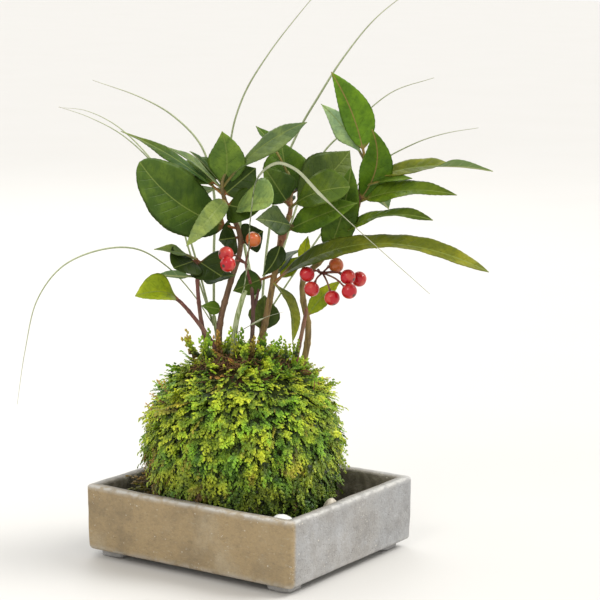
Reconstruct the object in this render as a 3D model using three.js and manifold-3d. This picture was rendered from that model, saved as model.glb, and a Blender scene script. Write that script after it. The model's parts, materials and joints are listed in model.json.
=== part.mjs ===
// A kokedama: a red-berried shrublet and some sedge, rooted in a ball of soil that moss covers,
// standing in a low stoneware tray with pebbles round it. Millimetres, +Z up. The origin is on the
// surface that the tray stands on, under the tray's middle; the tray's sides run along X and Y.
import * as THREE from "three";
import { mergeVertices } from "three/addons/utils/BufferGeometryUtils.js";
import Module from "manifold-3d";

const wasm = await Module();
wasm.setup();

// Driving dimensions
const GAP = 0.3; // left between pieces that touch
const TRAY = { long: 100, short: 87.5, top: 30, wall: 4.8, floor: 4, corner: 2, edge: 1.4 };
const FOOT = { side: 11, height: 3, inset: 3.5 };
const BALL = { x: -2.8, y: 0, z: 44, across: 40, high: 40, squareness: 2.3 };
const MOSS = { thick: 3.4, tuft: 3.2, tuftShare: 0.42, detail: 8, coreDetail: 4, seed: 7 };
const CROWN = { x: 2, y: 2, halfLong: 24, halfShort: 15 }; // the opening round the stems
const ROOT_Z = 72; // the foot of every stem, down in the soil
const HOLE = 0.4; // how much wider than its stem a hole in the soil is
const PLANT_TURN = THREE.MathUtils.degToRad(35.5); // the plant's front against the tray's long side
const BLADE = { thick: 0.75, rib: 0.95, tipHalf: 0.45, stations: 7, tooth: 0.5, roundness: 0.9 };
const TIP_SLOPE = 0.62; // half width over length where a blade runs out to its point
const STALK = { half: 0.7, thick: 1.3 }; // of a leaf
const WAVE = { pace: 9, offset: 2 }; // radians along a leaf, and between its two edges
const SHOOT = { root: 1.6, tip: 0.9 }; // radii of a crown's green shoot
const BERRY = { radius: 3.1, stalk: 0.65, twig: 0.45, sag: 1.2 };
const SHEATH = { root: 1.7, tip: 1.2, flat: 0.8 }; // radii of a sedge tuft's sheath, and its flatness
const GRASS = { root: 0.75, tip: 0.45, flat: 0.75 };
const THREAD = { radius: 0.45, depth: 0.6, steps: 26, turns: [[90, 42], [-35, 40]] };

// Colours
const paint = (color, roughness) => () =>
  new THREE.MeshStandardMaterial({ color, roughness, metalness: 0 });
const stoneware = paint(0x7d776c, 0.85);
const pebbleWhite = paint(0xd9d2c4, 0.6);
const darkSoil = paint(0x3b2a1c, 0.95);
const mossGreen = paint(0x7f9a2e, 0.95);
const bark = paint(0x6b4230, 0.7);
const leafGreen = paint(0x35602b, 0.45);
const berryRed = paint(0xc8242c, 0.25);
const sedgeGreen = paint(0x6f8a4c, 0.6);
const threadBlack = paint(0x2a2f22, 0.8);

// Repeatable random numbers from 0 to 1
function randomFrom(seed) {
  let state = seed;
  return () => {
    state = (state + 0x6d2b79f5) | 0;
    let t = Math.imul(state ^ (state >>> 15), 1 | state);
    t = (t + Math.imul(t ^ (t >>> 7), 61 | t)) ^ t;
    return ((t ^ (t >>> 14)) >>> 0) / 4294967296;
  };
}

// Joining and cutting
function solidOf(geometry) {
  const bare = geometry.clone();
  bare.deleteAttribute("normal");
  bare.deleteAttribute("uv");
  const merged = mergeVertices(bare, 1e-4);
  const mesh = {
    numProp: 3,
    vertProperties: new Float32Array(merged.attributes.position.array),
    triVerts: new Uint32Array(merged.index.array),
  };
  const solid = new wasm.Manifold(new wasm.Mesh(mesh));
  if (solid.volume() > 0) return solid;
  for (let i = 0; i < mesh.triVerts.length; i += 3) {
    const first = mesh.triVerts[i];
    mesh.triVerts[i] = mesh.triVerts[i + 1];
    mesh.triVerts[i + 1] = first;
  }
  return new wasm.Manifold(new wasm.Mesh(mesh));
}

function meshOf(name, solid, material) {
  const made = solid.getMesh();
  const geometry = new THREE.BufferGeometry();
  geometry.setAttribute("position", new THREE.BufferAttribute(made.vertProperties, 3));
  geometry.setIndex(new THREE.BufferAttribute(made.triVerts, 1));
  geometry.computeVertexNormals();
  const mesh = new THREE.Mesh(geometry, material());
  mesh.name = name;
  return mesh;
}

const fuse = (solids) => solids.reduce((whole, solid) => whole.add(solid));

const vector = (p) => new THREE.Vector3(...p);

// A tapering stem through the points, with an oval section of so many sides
function stemSolid(points, radius, options = {}) {
  const { tip = radius, flat = 1, sides = 6, steps = 2 * points.length } = options;
  const curve = new THREE.CatmullRomCurve3(points.map(vector), false, "centripetal");
  const frames = curve.computeFrenetFrames(steps, false);
  const vertices = [];
  const faces = [];
  for (let i = 0; i <= steps; i += 1) {
    const share = i / steps;
    const centre = curve.getPointAt(share);
    const size = radius + (tip - radius) * share;
    for (let k = 0; k < sides; k += 1) {
      const angle = (2 * Math.PI * (k + 0.5)) / sides;
      const point = centre
        .clone()
        .addScaledVector(frames.normals[i], size * Math.cos(angle))
        .addScaledVector(frames.binormals[i], size * flat * Math.sin(angle));
      vertices.push(point.x, point.y, point.z);
    }
  }
  for (let i = 0; i < steps; i += 1) {
    for (let k = 0; k < sides; k += 1) {
      const a = i * sides + k;
      const b = i * sides + ((k + 1) % sides);
      faces.push(a, b, a + sides, b, b + sides, a + sides);
    }
  }
  const last = steps * sides;
  for (let k = 1; k < sides - 1; k += 1) {
    faces.push(0, k + 1, k, last, last + k, last + k + 1);
  }
  const geometry = new THREE.BufferGeometry();
  geometry.setAttribute("position", new THREE.Float32BufferAttribute(vertices, 3));
  geometry.setIndex(faces);
  return solidOf(geometry);
}

// A direction from its bearing (0 is the plant's right, -90 its front) and its rise, in degrees
function direction(bearing, rise) {
  const turn = THREE.MathUtils.degToRad(bearing);
  const lift = THREE.MathUtils.degToRad(rise);
  return new THREE.Vector3(
    Math.cos(lift) * Math.cos(turn),
    Math.cos(lift) * Math.sin(turn),
    Math.sin(lift),
  );
}

// A leaf: a stalk from its foot, then a pointed blade with a toothed edge, folded up along its rib.
// arch bows the rib towards face, where its upper side looks, and sway bows it sideways. Both sides
// are split in the same triangles.
function leafSolid([from, to, wide, face, options = {}]) {
  const { arch = 0, sway = 0, fold = 15, stalk = 4, wave = 0.5, widest = 0.42 } = options;
  const { full = BLADE.roundness, lop = 0, tip = TIP_SLOPE } = options;
  const foot = vector(from);
  const run = vector(to).sub(foot);
  const length = run.length();
  const along = run.clone().normalize();
  const up = direction(...face).addScaledVector(along, -direction(...face).dot(along)).normalize();
  const side = new THREE.Vector3().crossVectors(along, up);
  const count = BLADE.stations + 1;
  const bladeFrom = stalk / length;
  const power = Math.log(0.5) / Math.log(widest);
  const rise = Math.tan(THREE.MathUtils.degToRad(fold));
  const vertices = [];
  for (let i = 0; i <= count; i += 1) {
    const blade = (i - 1) / BLADE.stations;
    const share = i === 0 ? 0 : bladeFrom + (1 - bladeFrom) * blade;
    const bend = 4 * share * (1 - share);
    const lean = 4 * (1 - 2 * share);
    const middle = foot
      .clone()
      .addScaledVector(run, share)
      .addScaledVector(up, arch * bend)
      .addScaledVector(side, sway * bend);
    const tangent = run.clone().addScaledVector(up, arch * lean).addScaledVector(side, sway * lean);
    const normal = new THREE.Vector3().crossVectors(side, tangent).normalize();
    const out = new THREE.Vector3().crossVectors(tangent, normal).normalize();
    let bow = i === 0 ? 0 : Math.sin(Math.PI * Math.min(blade, 1) ** power) ** full;
    if (tip > 0 && i > 0) {
      const most = ((1 - blade) * (length - stalk) * tip) / (0.5 * wide) + 1e-6;
      bow *= most / (bow ** 4 + most ** 4) ** 0.25;
    }
    const tooth = i > 1 && i % 2 === 1 ? Math.min(BLADE.tooth, 0.06 * wide) : 0;
    const half = Math.max(0.5 * wide * bow - tooth, i <= 1 ? STALK.half : BLADE.tipHalf);
    const lift = half * rise * bow;
    const thick = i <= 1 ? STALK.thick : BLADE.thick;
    for (const [across, height, deep] of [
      [-1, lift + wave * bow * Math.sin(WAVE.pace * share), thick],
      [0, 0, Math.max(thick, BLADE.rib)],
      [1, lift + wave * bow * Math.sin(WAVE.pace * share + WAVE.offset), thick],
    ]) {
      const top = middle
        .clone()
        .addScaledVector(out, across * half * (1 + across * lop))
        .addScaledVector(normal, height + 0.5 * deep);
      const below = top.clone().addScaledVector(normal, -deep);
      vertices.push(top.x, top.y, top.z, below.x, below.y, below.z);
    }
  }
  const faces = [];
  const quad = (a, b, c, d) => faces.push(a, b, c, a, c, d);
  for (let i = 0; i < count; i += 1) {
    const here = 6 * i;
    const next = here + 6;
    quad(here, here + 2, next + 2, next);
    quad(here + 2, here + 4, next + 4, next + 2);
    faces.push(here + 1, next + 3, here + 3, here + 1, next + 1, next + 3);
    faces.push(here + 3, next + 5, here + 5, here + 3, next + 3, next + 5);
    quad(here + 1, here, next, next + 1);
    quad(here + 4, here + 5, next + 5, next + 4);
  }
  quad(0, 1, 3, 2);
  quad(2, 3, 5, 4);
  const end = 6 * count;
  quad(end, end + 2, end + 3, end + 1);
  quad(end + 2, end + 4, end + 5, end + 3);
  const geometry = new THREE.BufferGeometry();
  geometry.setAttribute("position", new THREE.Float32BufferAttribute(vertices, 3));
  geometry.setIndex(faces);
  return solidOf(geometry);
}

// Tray: one fired piece, a low rectangular dish with rounded edges on four small feet
function roundedRectangle(long, short, corner) {
  const x = long / 2;
  const y = short / 2;
  const shape = new THREE.Shape();
  shape.moveTo(x - corner, -y);
  shape.absarc(x - corner, -y + corner, corner, -Math.PI / 2, 0);
  shape.absarc(x - corner, y - corner, corner, 0, Math.PI / 2);
  shape.absarc(-x + corner, y - corner, corner, Math.PI / 2, Math.PI);
  shape.absarc(-x + corner, -y + corner, corner, Math.PI, 1.5 * Math.PI);
  shape.closePath();
  return shape;
}

function slab(long, short, corner, bottom, top, edge) {
  const shape = roundedRectangle(long - 2 * edge, short - 2 * edge, Math.max(corner - edge, 0.4));
  const geometry = new THREE.ExtrudeGeometry(shape, {
    depth: top - bottom - 2 * edge,
    bevelEnabled: edge > 0,
    bevelThickness: edge,
    bevelSize: edge,
    bevelSegments: 2,
    curveSegments: 3,
  });
  geometry.translate(0, 0, bottom + edge);
  return solidOf(geometry);
}

const traySolid = () => {
  const { long, short, top, wall, floor, corner, edge } = TRAY;
  const outer = slab(long, short, corner, FOOT.height, top, edge);
  const above = top + 2 * edge;
  const inner = slab(long - 2 * wall, short - 2 * wall, 4, FOOT.height + floor, above, 1.5);
  const feet = [];
  for (const sx of [-1, 1]) {
    for (const sy of [-1, 1]) {
      const foot = slab(FOOT.side, FOOT.side, 2, 0, FOOT.height + floor / 2, 0);
      const x = sx * (long / 2 - FOOT.inset - FOOT.side / 2);
      const y = sy * (short / 2 - FOOT.inset - FOOT.side / 2);
      feet.push(foot.translate([x, y, 0]));
    }
  }
  return fuse([outer, ...feet]).subtract(inner);
};

// Ball: how far its side is from its middle along a direction. inset is how deep under the moss.
// It is pressed flat by the tray's floor, and by the walls below their rim.
const FLOOR_Z = FOOT.height + TRAY.floor;
function ballReach(d, inset) {
  const n = BALL.squareness;
  const across = Math.hypot(d.x, d.y) / (BALL.across - inset);
  const high = Math.abs(d.z) / (BALL.high - inset);
  const free = (across ** n + high ** n) ** (-1 / n);
  let limit = d.z < 0 ? (BALL.z - FLOOR_Z - GAP - inset) / -d.z : Infinity;
  const rowX = d.x * Math.cos(PLANT_TURN) - d.y * Math.sin(PLANT_TURN);
  const rowY = d.x * Math.sin(PLANT_TURN) + d.y * Math.cos(PLANT_TURN);
  const middleX = BALL.x * Math.cos(PLANT_TURN) - BALL.y * Math.sin(PLANT_TURN);
  const middleY = BALL.x * Math.sin(PLANT_TURN) + BALL.y * Math.cos(PLANT_TURN);
  const spread = 1.2; // how fast the side swells again above the rim
  for (const [toward, middle, size] of [
    [rowX, middleX, TRAY.long],
    [rowY, middleY, TRAY.short],
  ]) {
    if (Math.abs(toward) < 1e-6) continue;
    const room = size / 2 - TRAY.wall - 2 * GAP - inset - Math.sign(toward) * middle;
    const wall = room / Math.abs(toward);
    const rim = TRAY.top + 1.5 - BALL.z;
    if (wall * d.z < rim) limit = Math.min(limit, wall);
    else if (Math.abs(toward) > spread * d.z) {
      limit = Math.min(limit, (room - spread * rim) / (Math.abs(toward) - spread * d.z));
    }
  }
  return { free, limit };
}

function ballSolid(inset, detail, relief) {
  const bare = new THREE.IcosahedronGeometry(1, detail);
  bare.deleteAttribute("normal");
  bare.deleteAttribute("uv");
  const geometry = mergeVertices(bare, 1e-5);
  const place = geometry.attributes.position;
  for (let i = 0; i < place.count; i += 1) {
    const d = new THREE.Vector3().fromBufferAttribute(place, i).normalize();
    const { free, limit } = ballReach(d, inset);
    const point = d.multiplyScalar(Math.min(free + relief(), limit));
    place.setXYZ(i, BALL.x + point.x, BALL.y + point.y, BALL.z + point.z);
  }
  return solidOf(geometry);
}

// Thread: two turns round the ball, sunk in the moss that they hold, clear of the crown.
// Each turn lies in a plane through the ball's middle, given by the bearing and rise of its axis.
function turnSolid([bearing, rise], radius) {
  const axis = direction(bearing, rise);
  const low = direction(bearing, rise - 90);
  const side = new THREE.Vector3().crossVectors(axis, low);
  const corners = 4;
  const vertices = [];
  const faces = [];
  for (let i = 0; i < THREAD.steps; i += 1) {
    const turn = (2 * Math.PI * i) / THREAD.steps;
    const out = low.clone().multiplyScalar(Math.cos(turn)).addScaledVector(side, Math.sin(turn));
    const { free, limit } = ballReach(out, 0);
    for (let k = 0; k < corners; k += 1) {
      const round = (2 * Math.PI * k) / corners;
      const reach = Math.min(free, limit) - THREAD.depth + radius * Math.cos(round);
      const point = out.clone().multiplyScalar(reach).addScaledVector(axis, radius * Math.sin(round));
      vertices.push(BALL.x + point.x, BALL.y + point.y, BALL.z + point.z);
      const a = i * corners + k;
      const b = i * corners + ((k + 1) % corners);
      const ahead = ((i + 1) % THREAD.steps) * corners - i * corners;
      faces.push(a, b, a + ahead, b, b + ahead, a + ahead);
    }
  }
  const geometry = new THREE.BufferGeometry();
  geometry.setAttribute("position", new THREE.Float32BufferAttribute(vertices, 3));
  geometry.setIndex(faces);
  return solidOf(geometry);
}

const threadSolid = (radius) => fuse(THREAD.turns.map((turn) => turnSolid(turn, radius)));

// Moss: a coat over the whole ball but its crown, with tufts that stand up from it and a groove
// for the thread
function mossSolid() {
  const random = randomFrom(MOSS.seed);
  const tuft = () => {
    const raised = random() < MOSS.tuftShare;
    return raised ? MOSS.tuft * (0.6 + 0.4 * random()) : 0.8 * random();
  };
  const outer = ballSolid(0, MOSS.detail, tuft);
  const inner = ballSolid(MOSS.thick - GAP, MOSS.coreDetail, () => 0);
  const opening = new THREE.CylinderGeometry(1, 0.9, 30, 20);
  opening.rotateX(Math.PI / 2);
  opening.scale(CROWN.halfLong, CROWN.halfShort, 1);
  opening.translate(CROWN.x, CROWN.y, BALL.z + BALL.high);
  return outer.subtract(inner).subtract(solidOf(opening)).subtract(threadSolid(THREAD.radius + GAP));
}

// Woody stems, from their roots in the soil to their crowns, with the leaves that grow low on them.
// A leaf is its foot, its tip, its width, where its upper side looks and how it is bent.
const STEMS = {
  stem_left: {
    route: [[-9, 0, ROOT_Z], [-12.5, 0, 84], [-12.3, 0, 95], [-8.3, 0, 111], [-4.2, 0, 125],
      [-4.6, 0, 132], [-7, -0.3, 138]],
    radius: 1.7,
    tip: 1.4,
    leaves: [
      [[-5.2, -0.1, 133.5], [-43, -22, 162.5], 25, [-95, 28],
        { arch: -1.5, sway: -4.5, fold: 8, stalk: 6, widest: 0.52, full: 0.52, tip: 0 }],
      [[-11.4, 0, 100.5], [-19.5, -3, 102.7], 6, [-90, 20], { stalk: 1, full: 0.6 }],
      [[-4.3, 0, 130], [-12.6, -6, 129.7], 15, [-100, 14], { fold: 12, stalk: 2, full: 0.7 }],
      [[-4.3, 0, 127], [1.4, -4, 135.9], 9, [-80, 20], { fold: 14, stalk: 2 }],
    ],
  },
  stem_centre: {
    route: [[2, 0, ROOT_Z], [3.8, 0, 86], [5.8, 0, 95], [8.2, 0, 107], [11, 0, 123], [12.6, 0, 130],
      [15.6, 0, 139]],
    radius: 1.9,
    tip: 1.5,
    leaves: [
      [[8.6, 0, 112], [16.8, -14, 89.9], 9, [-20, 45], { arch: 4, fold: 22, stalk: 3, full: 0.7 }],
      [[4.6, 0, 89.3], [5.8, 8, 105.1], 14, [-80, 20], { arch: 1, fold: 10, stalk: 3 }],
      [[12, -0.1, 129.8], [4.6, -5, 115], 8, [-95, 10], { arch: 2, sway: -2, fold: 25, stalk: 3 }],
      [[15.3, -1.5, 133.3], [2.5, -12, 140.1], 12, [-95, 34], { fold: 14, stalk: 3, widest: 0.55 }],
      [[9, 0, 114.5], [-7.1, -0.5, 108.2], 12, [-100, 20], { arch: 1, fold: 18, stalk: 5, full: 0.7 }],
      [[9, 0, 111], [21.8, 14, 123.1], 13, [60, 60], { arch: 3 }],
      [[9, 0, 110], [20.8, 6, 121.5], 8, [-90, 40], { arch: 1, stalk: 5 }],
      [[9, -0.4, 111.5], [92.6, -30, 120.7], 12.5, [-80, 62],
        { arch: 16, fold: 12, stalk: 4, widest: 0.5, full: 0.6 }],
      [[12.8, -0.2, 131.5], [42, -11, 145.2], 14, [-95, 35], { arch: 2, widest: 0.5, full: 0.7 }],
    ],
  },
  stem_right: {
    route: [[20, 3, ROOT_Z], [23, 3, 86], [23.2, 2, 94], [21.1, 2, 105], [21.5, 2, 113], [28, 2, 120],
      [37.9, 1, 132], [43, 0, 143]],
    radius: 1.7,
    tip: 1.2,
    leaves: [
      [[22, 2, 95.5], [36.5, 4, 111.6], 7.5, [-60, 30], { arch: 1, sway: -1.5, stalk: 3 }],
      [[31, 1.9, 123.5], [40.3, 5.5, 157.6], 13.5, [-95, 8],
        { arch: -1, sway: 1.5, fold: 14, stalk: 1.5, widest: 0.4, full: 0.6 }],
      [[21, 2, 111], [23.1, 5, 129.8], 6, [-110, 10], { arch: 2, stalk: 8 }],
      [[36, 1.2, 130], [71.1, -23, 140.1], 7.5, [-85, 60], { arch: 6, stalk: 5, full: 0.6 }],
      [[30, 2, 122], [52, 24, 122], 16, [50, 65], { arch: 4 }],
    ],
  },
  stem_lime: {
    route: [[-11, -4, ROOT_Z], [-13.5, -4, 84], [-21.1, -4, 96], [-28.5, -4, 104.7], [-31, -5, 106.5]],
    radius: 1,
    tip: 0.8,
    leaves: [
      [[-29, -4, 105.4], [-45.7, -14, 108.5], 13, [-100, 40], { arch: 4, fold: 30, stalk: 2 }],
    ],
  },
  stem_pair: {
    route: [[-15.5, 3, ROOT_Z], [-18, 3, 86], [-20, 2, 96], [-21.1, 0, 107], [-21.6, -2, 122]],
    radius: 1,
    tip: 0.8,
    leaves: [
      [[-21.4, -2, 121], [-38.3, -9, 126.5], 6, [-90, 60], { arch: 1.5, stalk: 5 }],
      [[-21.5, -2, 121], [-30.3, -12, 119.4], 18, [-100, 30], { stalk: 2, full: 0.7 }],
      [[-21.5, -2, 121], [-11.7, -11, 116], 17, [-80, 30], { stalk: 2, full: 0.7 }],
      [[-21, 0, 114], [-37.5, -1, 115], 6, [110, 40], { stalk: 4 }],
      [[-21, 0, 113], [-6.2, -6, 115.6], 9, [-80, 45], { stalk: 2 }],
    ],
  },
  stem_fork: {
    route: [[0, -5, ROOT_Z], [0.4, -6, 86], [0.8, -6.5, 94], [1, -7, 103], [0.4, -7.5, 111]],
    radius: 1.1,
    tip: 0.8,
    twigs: [[[1, -7, 102], [2.4, -6.5, 106], [3.2, -6, 110]]],
    leaves: [],
  },
  stem_short: {
    route: [[17, -4, ROOT_Z], [19, -4, 84], [20.5, -3.5, 91], [22.6, -3, 102]],
    radius: 1,
    tip: 0.8,
    leaves: [],
  },
};

function stemNode({ route, radius, tip, twigs = [], leaves }) {
  return fuse([
    stemSolid(route, radius, { tip }),
    ...twigs.map((twig) => stemSolid(twig, tip, { tip: 0.6, sides: 5 })),
    ...leaves.map(leafSolid),
  ]);
}

// Crowns: the green tip of a shoot with the whorl of leaves that it carries
const CROWNS = {
  leaves_left: {
    shoot: [[-7.3, -0.4, 139], [-10.2, -1.6, 145], [-11.4, -1.6, 151], [-9.5, 0, 158]],
    leaves: [
      [[-11.2, -1.7, 150], [-33, 16, 157], 18, [-110, 60], { arch: 2 }],
      [[-11.3, -1.6, 152], [-52.5, 18, 170.8], 7, [-75, 72], { arch: 2.5, fold: 3, widest: 0.4 }],
      [[-10, -0.4, 156], [-24.4, 12, 163.3], 8, [90, 60], { arch: 1 }],
      [[-10.6, -0.9, 154.5], [-32.4, -10, 167.1], 8, [-70, 74],
        { arch: 1.5, fold: 10, stalk: 2, widest: 0.5 }],
      [[-10, -0.4, 156], [-11.3, -5, 172.8], 16, [-95, 15],
        { arch: -1, sway: 1.5, stalk: 1, widest: 0.42, full: 0.8 }],
      [[-10.8, -1, 154], [22.2, -6, 176.7], 14, [-100, 52],
        { arch: 2.5, sway: -2, fold: 6, stalk: 6, widest: 0.66, full: 0.8, lop: 0.3 }],
      [[-11, -1.7, 150], [2.1, -1, 157.9], 16, [-90, 20],
        { fold: 14, stalk: 1, widest: 0.5, full: 0.75 }],
      [[-10.7, -1.8, 147.5], [4.5, -11, 143.6], 15, [-80, 25],
        { sway: 1, fold: 16, stalk: 1, widest: 0.45, full: 0.75 }],
      [[-7.6, -0.7, 139.8], [8.5, -24, 147.2], 15, [-85, 30],
        { arch: 2, fold: 14, stalk: 1, widest: 0.85, full: 0.5, lop: -0.45, tip: 0 }],
      [[-10.2, -1.6, 145], [-24.9, -26, 130.2], 8.5, [-70, 30],
        { arch: 4.5, fold: 22, stalk: 1, widest: 0.45, full: 0.6 }],
      [[-11, -1.2, 153], [-7, 20, 160], 12, [80, 60], { arch: 3 }],
      [[-11, -1.7, 149], [-24, 16, 141], 15, [110, 60], { arch: 3 }],
    ],
  },
  leaves_centre: {
    shoot: [[15.8, 0, 140], [16, 2, 147], [15, 6, 156]],
    leaves: [
      [[15.7, 2.4, 145.5], [12.3, 14, 167.2], 20, [-85, 8], { stalk: 2, widest: 0.5, full: 0.8 }],
      [[16, 0.5, 142], [5.3, -5, 158.8], 14, [-95, 30], { fold: 26, stalk: 3 }],
      [[15.8, 0.8, 142], [40.5, 20, 162.8], 25, [-85, 4],
        { arch: 1, sway: 1.5, widest: 0.5, full: 0.75 }],
      [[15.8, 0, 141.5], [39.1, -12, 151.7], 17, [-85, 40],
        { arch: 4, stalk: 4, widest: 0.6, full: 0.6, tip: 0 }],
      [[15.2, 5, 154], [2.2, 14, 173.3], 6, [-60, 30], { arch: 2, stalk: 15, widest: 0.6 }],
      [[15.8, 1, 144], [26, 30, 152], 19, [85, 65], { arch: 5 }],
      [[15.8, 0, 142], [4, 26, 138], 16, [100, 60], { arch: 4 }],
    ],
  },
  leaves_right: {
    shoot: [[43.2, 0, 144], [44.5, 2, 154], [46, 5, 163]],
    leaves: [
      [[45.6, 4.4, 161], [32.2, 11, 195.3], 12, [-100, 10],
        { arch: -1, sway: 1, fold: 12, widest: 0.4, full: 0.9, lop: 0.4 }],
      [[45.8, 4.8, 162], [29.3, 17, 180.7], 8.5, [-110, 20],
        { sway: 1, fold: 12, widest: 0.65, full: 0.75 }],
      [[43.3, 0.2, 144.6], [47.8, -8, 174], 14, [-85, 12],
        { arch: -1, sway: 4.5, fold: 18, stalk: 1, widest: 0.48, full: 0.7 }],
      [[44.3, 1.6, 152], [96.1, -6, 157.4], 9.5, [-85, 62], { arch: 5, stalk: 9, full: 0.7 }],
      [[44, 1, 150], [63.8, -9, 154.9], 6, [-90, 60], { arch: 1, stalk: 8 }],
      [[43.2, 0.3, 144], [80.9, -17, 149.2], 12.5, [-90, 55], { arch: 4.2, stalk: 4 }],
      [[44.2, 1.5, 151], [59, 26, 151], 12, [80, 65], { arch: 3, widest: 0.55 }],
      [[43.6, 0.6, 147], [57, 27, 138], 13, [80, 60], { arch: 3, widest: 0.55 }],
    ],
  },
};

function crownNode({ shoot, leaves }) {
  return fuse([stemSolid(shoot, SHOOT.root, { tip: SHOOT.tip }), ...leaves.map(leafSolid)]);
}

// Berries on their red stalks
const BERRIES = {
  berries_right: {
    stalk: [[27.2, 0.6, 116.6], [27.6, -4, 116.4], [28.6, -9, 117]],
    berries: [[22.4, -11, 116.7], [24.2, -13.5, 111.2], [32.2, -16, 108], [38.4, -16, 116.4],
      [43.1, -10, 114.6], [38.8, -20, 111.4], [34, -8, 119.8]],
  },
  berries_left: {
    stalk: [[0, -8.6, 112.6], [-1.2, -9.5, 117], [-2, -10, 121]],
    berries: [[-9.7, -14, 125.2], [-8.9, -19.2, 122], [1.1, -11, 130.7]],
  },
};

function berrySolid(centre) {
  const geometry = new THREE.SphereGeometry(BERRY.radius, 8, 6);
  geometry.rotateX(Math.PI / 2);
  geometry.translate(...centre);
  return solidOf(geometry);
}

function berryNode({ stalk, berries }) {
  const fork = stalk[stalk.length - 1];
  const pieces = [stemSolid(stalk, BERRY.stalk, { sides: 4, steps: 3 })];
  for (const berry of berries) {
    const bend = [0, 1, 2].map((k) => (fork[k] + berry[k]) / 2 + (k === 2 ? BERRY.sag : 0));
    const twig = stemSolid([fork, bend, berry], BERRY.twig, { sides: 4, steps: 3 });
    pieces.push(twig, berrySolid(berry));
  }
  return fuse(pieces);
}

// Sedge: tufts of long thin blades, each tuft in one sheath that stands in the soil
const SEDGE = {
  sedge_left: {
    sheath: [[-12, 8, ROOT_Z], [-13, 9, 84], [-15, 11, 96]],
    blades: [
      [[-15, 11, 92], [-15, 16, 120], [-15, 22, 145], [-20, 23, 164], [-31.4, 21, 176.6],
        [-44, 20, 184], [-64, 22, 191]],
      [[-15, 11, 92], [-25, 18, 122], [-31, 24, 142], [-39, 24, 156], [-52, 20, 169], [-65, 16, 176.5],
        [-77, 13, 181]],
      [[-15, 11, 92], [-24, 20, 124], [-31, 28, 143], [-41, 32, 158], [-55, 37, 171], [-68, 41, 177],
        [-80, 46, 178]],
      [[-15, 11, 92], [-24, 10, 106], [-34, 3, 118], [-46, -7, 126.5], [-59, -10, 126.5],
        [-74, -14, 120.5], [-84, -16, 107.6], [-89, -18, 87.5], [-92.3, -20, 66]],
    ],
  },
  sedge_back: {
    sheath: [[5, 11, ROOT_Z], [5, 12, 84], [4, 14, 96]],
    blades: [
      [[4, 14, 92], [-2, 24, 120], [-6, 30, 146], [-8, 29, 165], [-3, 24, 184], [7, 18, 201.5],
        [21, 14, 220], [32, 10, 233]],
      [[4, 14, 92], [7, 28, 124], [12, 37, 150], [20, 33, 170], [28, 24, 185], [37, 18, 200],
        [50, 14, 216.5], [68, 12, 231]],
      [[4, 14, 92], [13, 28, 120], [22, 38, 145], [31, 39, 161], [41, 35, 171], [58, 29, 186], [75, 27, 192]],
      [[4, 14, 92], [20, 28, 114], [38, 38, 138], [52, 36, 155], [68, 30, 165], [80, 25, 169.5],
        [93, 22, 172]],
      [[4, 14, 92], [0, 24, 112], [-4, 36, 128], [-8, 50, 136], [-12, 66, 130]],
    ],
  },
  sedge_front: {
    sheath: [[-7, -6.5, ROOT_Z], [-7, -7.2, 84], [-6.6, -7.5, 90.6], [-5.4, -8.5, 98.5], [-3.8, -9.5, 104.8],
      [-2.2, -10.5, 110]],
    blades: [
      [[-3.2, -10, 107], [-1, -17, 124], [0, -28, 142], [3, -31, 158], [10, -31, 163.2], [17, -31, 161],
        [27, -31, 151], [41, -33, 138], [69, -38, 113.4]],
      [[-6.3, -7.8, 92], [-1, -13, 96], [6, -17, 100.5], [13, -19, 103]],
    ],
  },
};

function sedgeNode({ sheath, blades }) {
  const { tip, flat } = GRASS;
  return fuse([
    stemSolid(sheath, SHEATH.root, { tip: SHEATH.tip, flat: SHEATH.flat, steps: 4 }),
    ...blades.map((blade) => stemSolid(blade, GRASS.root, { tip, flat, sides: 4 })),
  ]);
}

// Pebbles: water-worn. The first two stand on end between the ball and the tray's wall and steady
// the ball; the rest lie on the tray's floor in its corners. Places are the tray's own.
const PEBBLES = [
  { at: [37.4, -31.8], size: [13.5, 12, 22], turn: 20 },
  { at: [40.6, -2], size: [7.4, 9, 21.4], turn: 0 },
  { at: [39, 30], size: [7.4, 6, 3.4], turn: -30 },
  { at: [41, 17], size: [4.6, 3.8, 2.6], turn: 60 },
  { at: [-40, -31], size: [5, 4, 2.6], turn: 10 },
  { at: [-40, 31], size: [7, 5, 3.2], turn: 40 },
  { at: [-41, 18], size: [4.4, 3.4, 2.4], turn: -20 },
];

function pebbleMesh({ at, size, turn }, index) {
  const geometry = new THREE.IcosahedronGeometry(1, 1);
  geometry.scale(...size.map((s) => s / 2));
  const mesh = meshOf("pebble_" + (index + 1), solidOf(geometry), pebbleWhite);
  mesh.rotation.z = THREE.MathUtils.degToRad(turn);
  mesh.position.set(at[0], at[1], FLOOR_Z + GAP + size[2] / 2);
  return mesh;
}

// Assembly
const plant = new THREE.Group();
plant.rotation.z = PLANT_TURN;

const holes = [];
for (const { route, radius } of Object.values(STEMS)) {
  holes.push(stemSolid(route.slice(0, 2), radius + HOLE, { steps: 2 }));
}
for (const { sheath } of Object.values(SEDGE)) {
  holes.push(stemSolid(sheath.slice(0, 2), SHEATH.root + HOLE, { steps: 2 }));
}
const soil = ballSolid(MOSS.thick, MOSS.coreDetail, () => 0).subtract(fuse(holes));
plant.add(
  meshOf("soil_ball", soil, darkSoil),
  meshOf("moss_coat", mossSolid(), mossGreen),
  meshOf("binding_thread", threadSolid(THREAD.radius), threadBlack),
);

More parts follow.
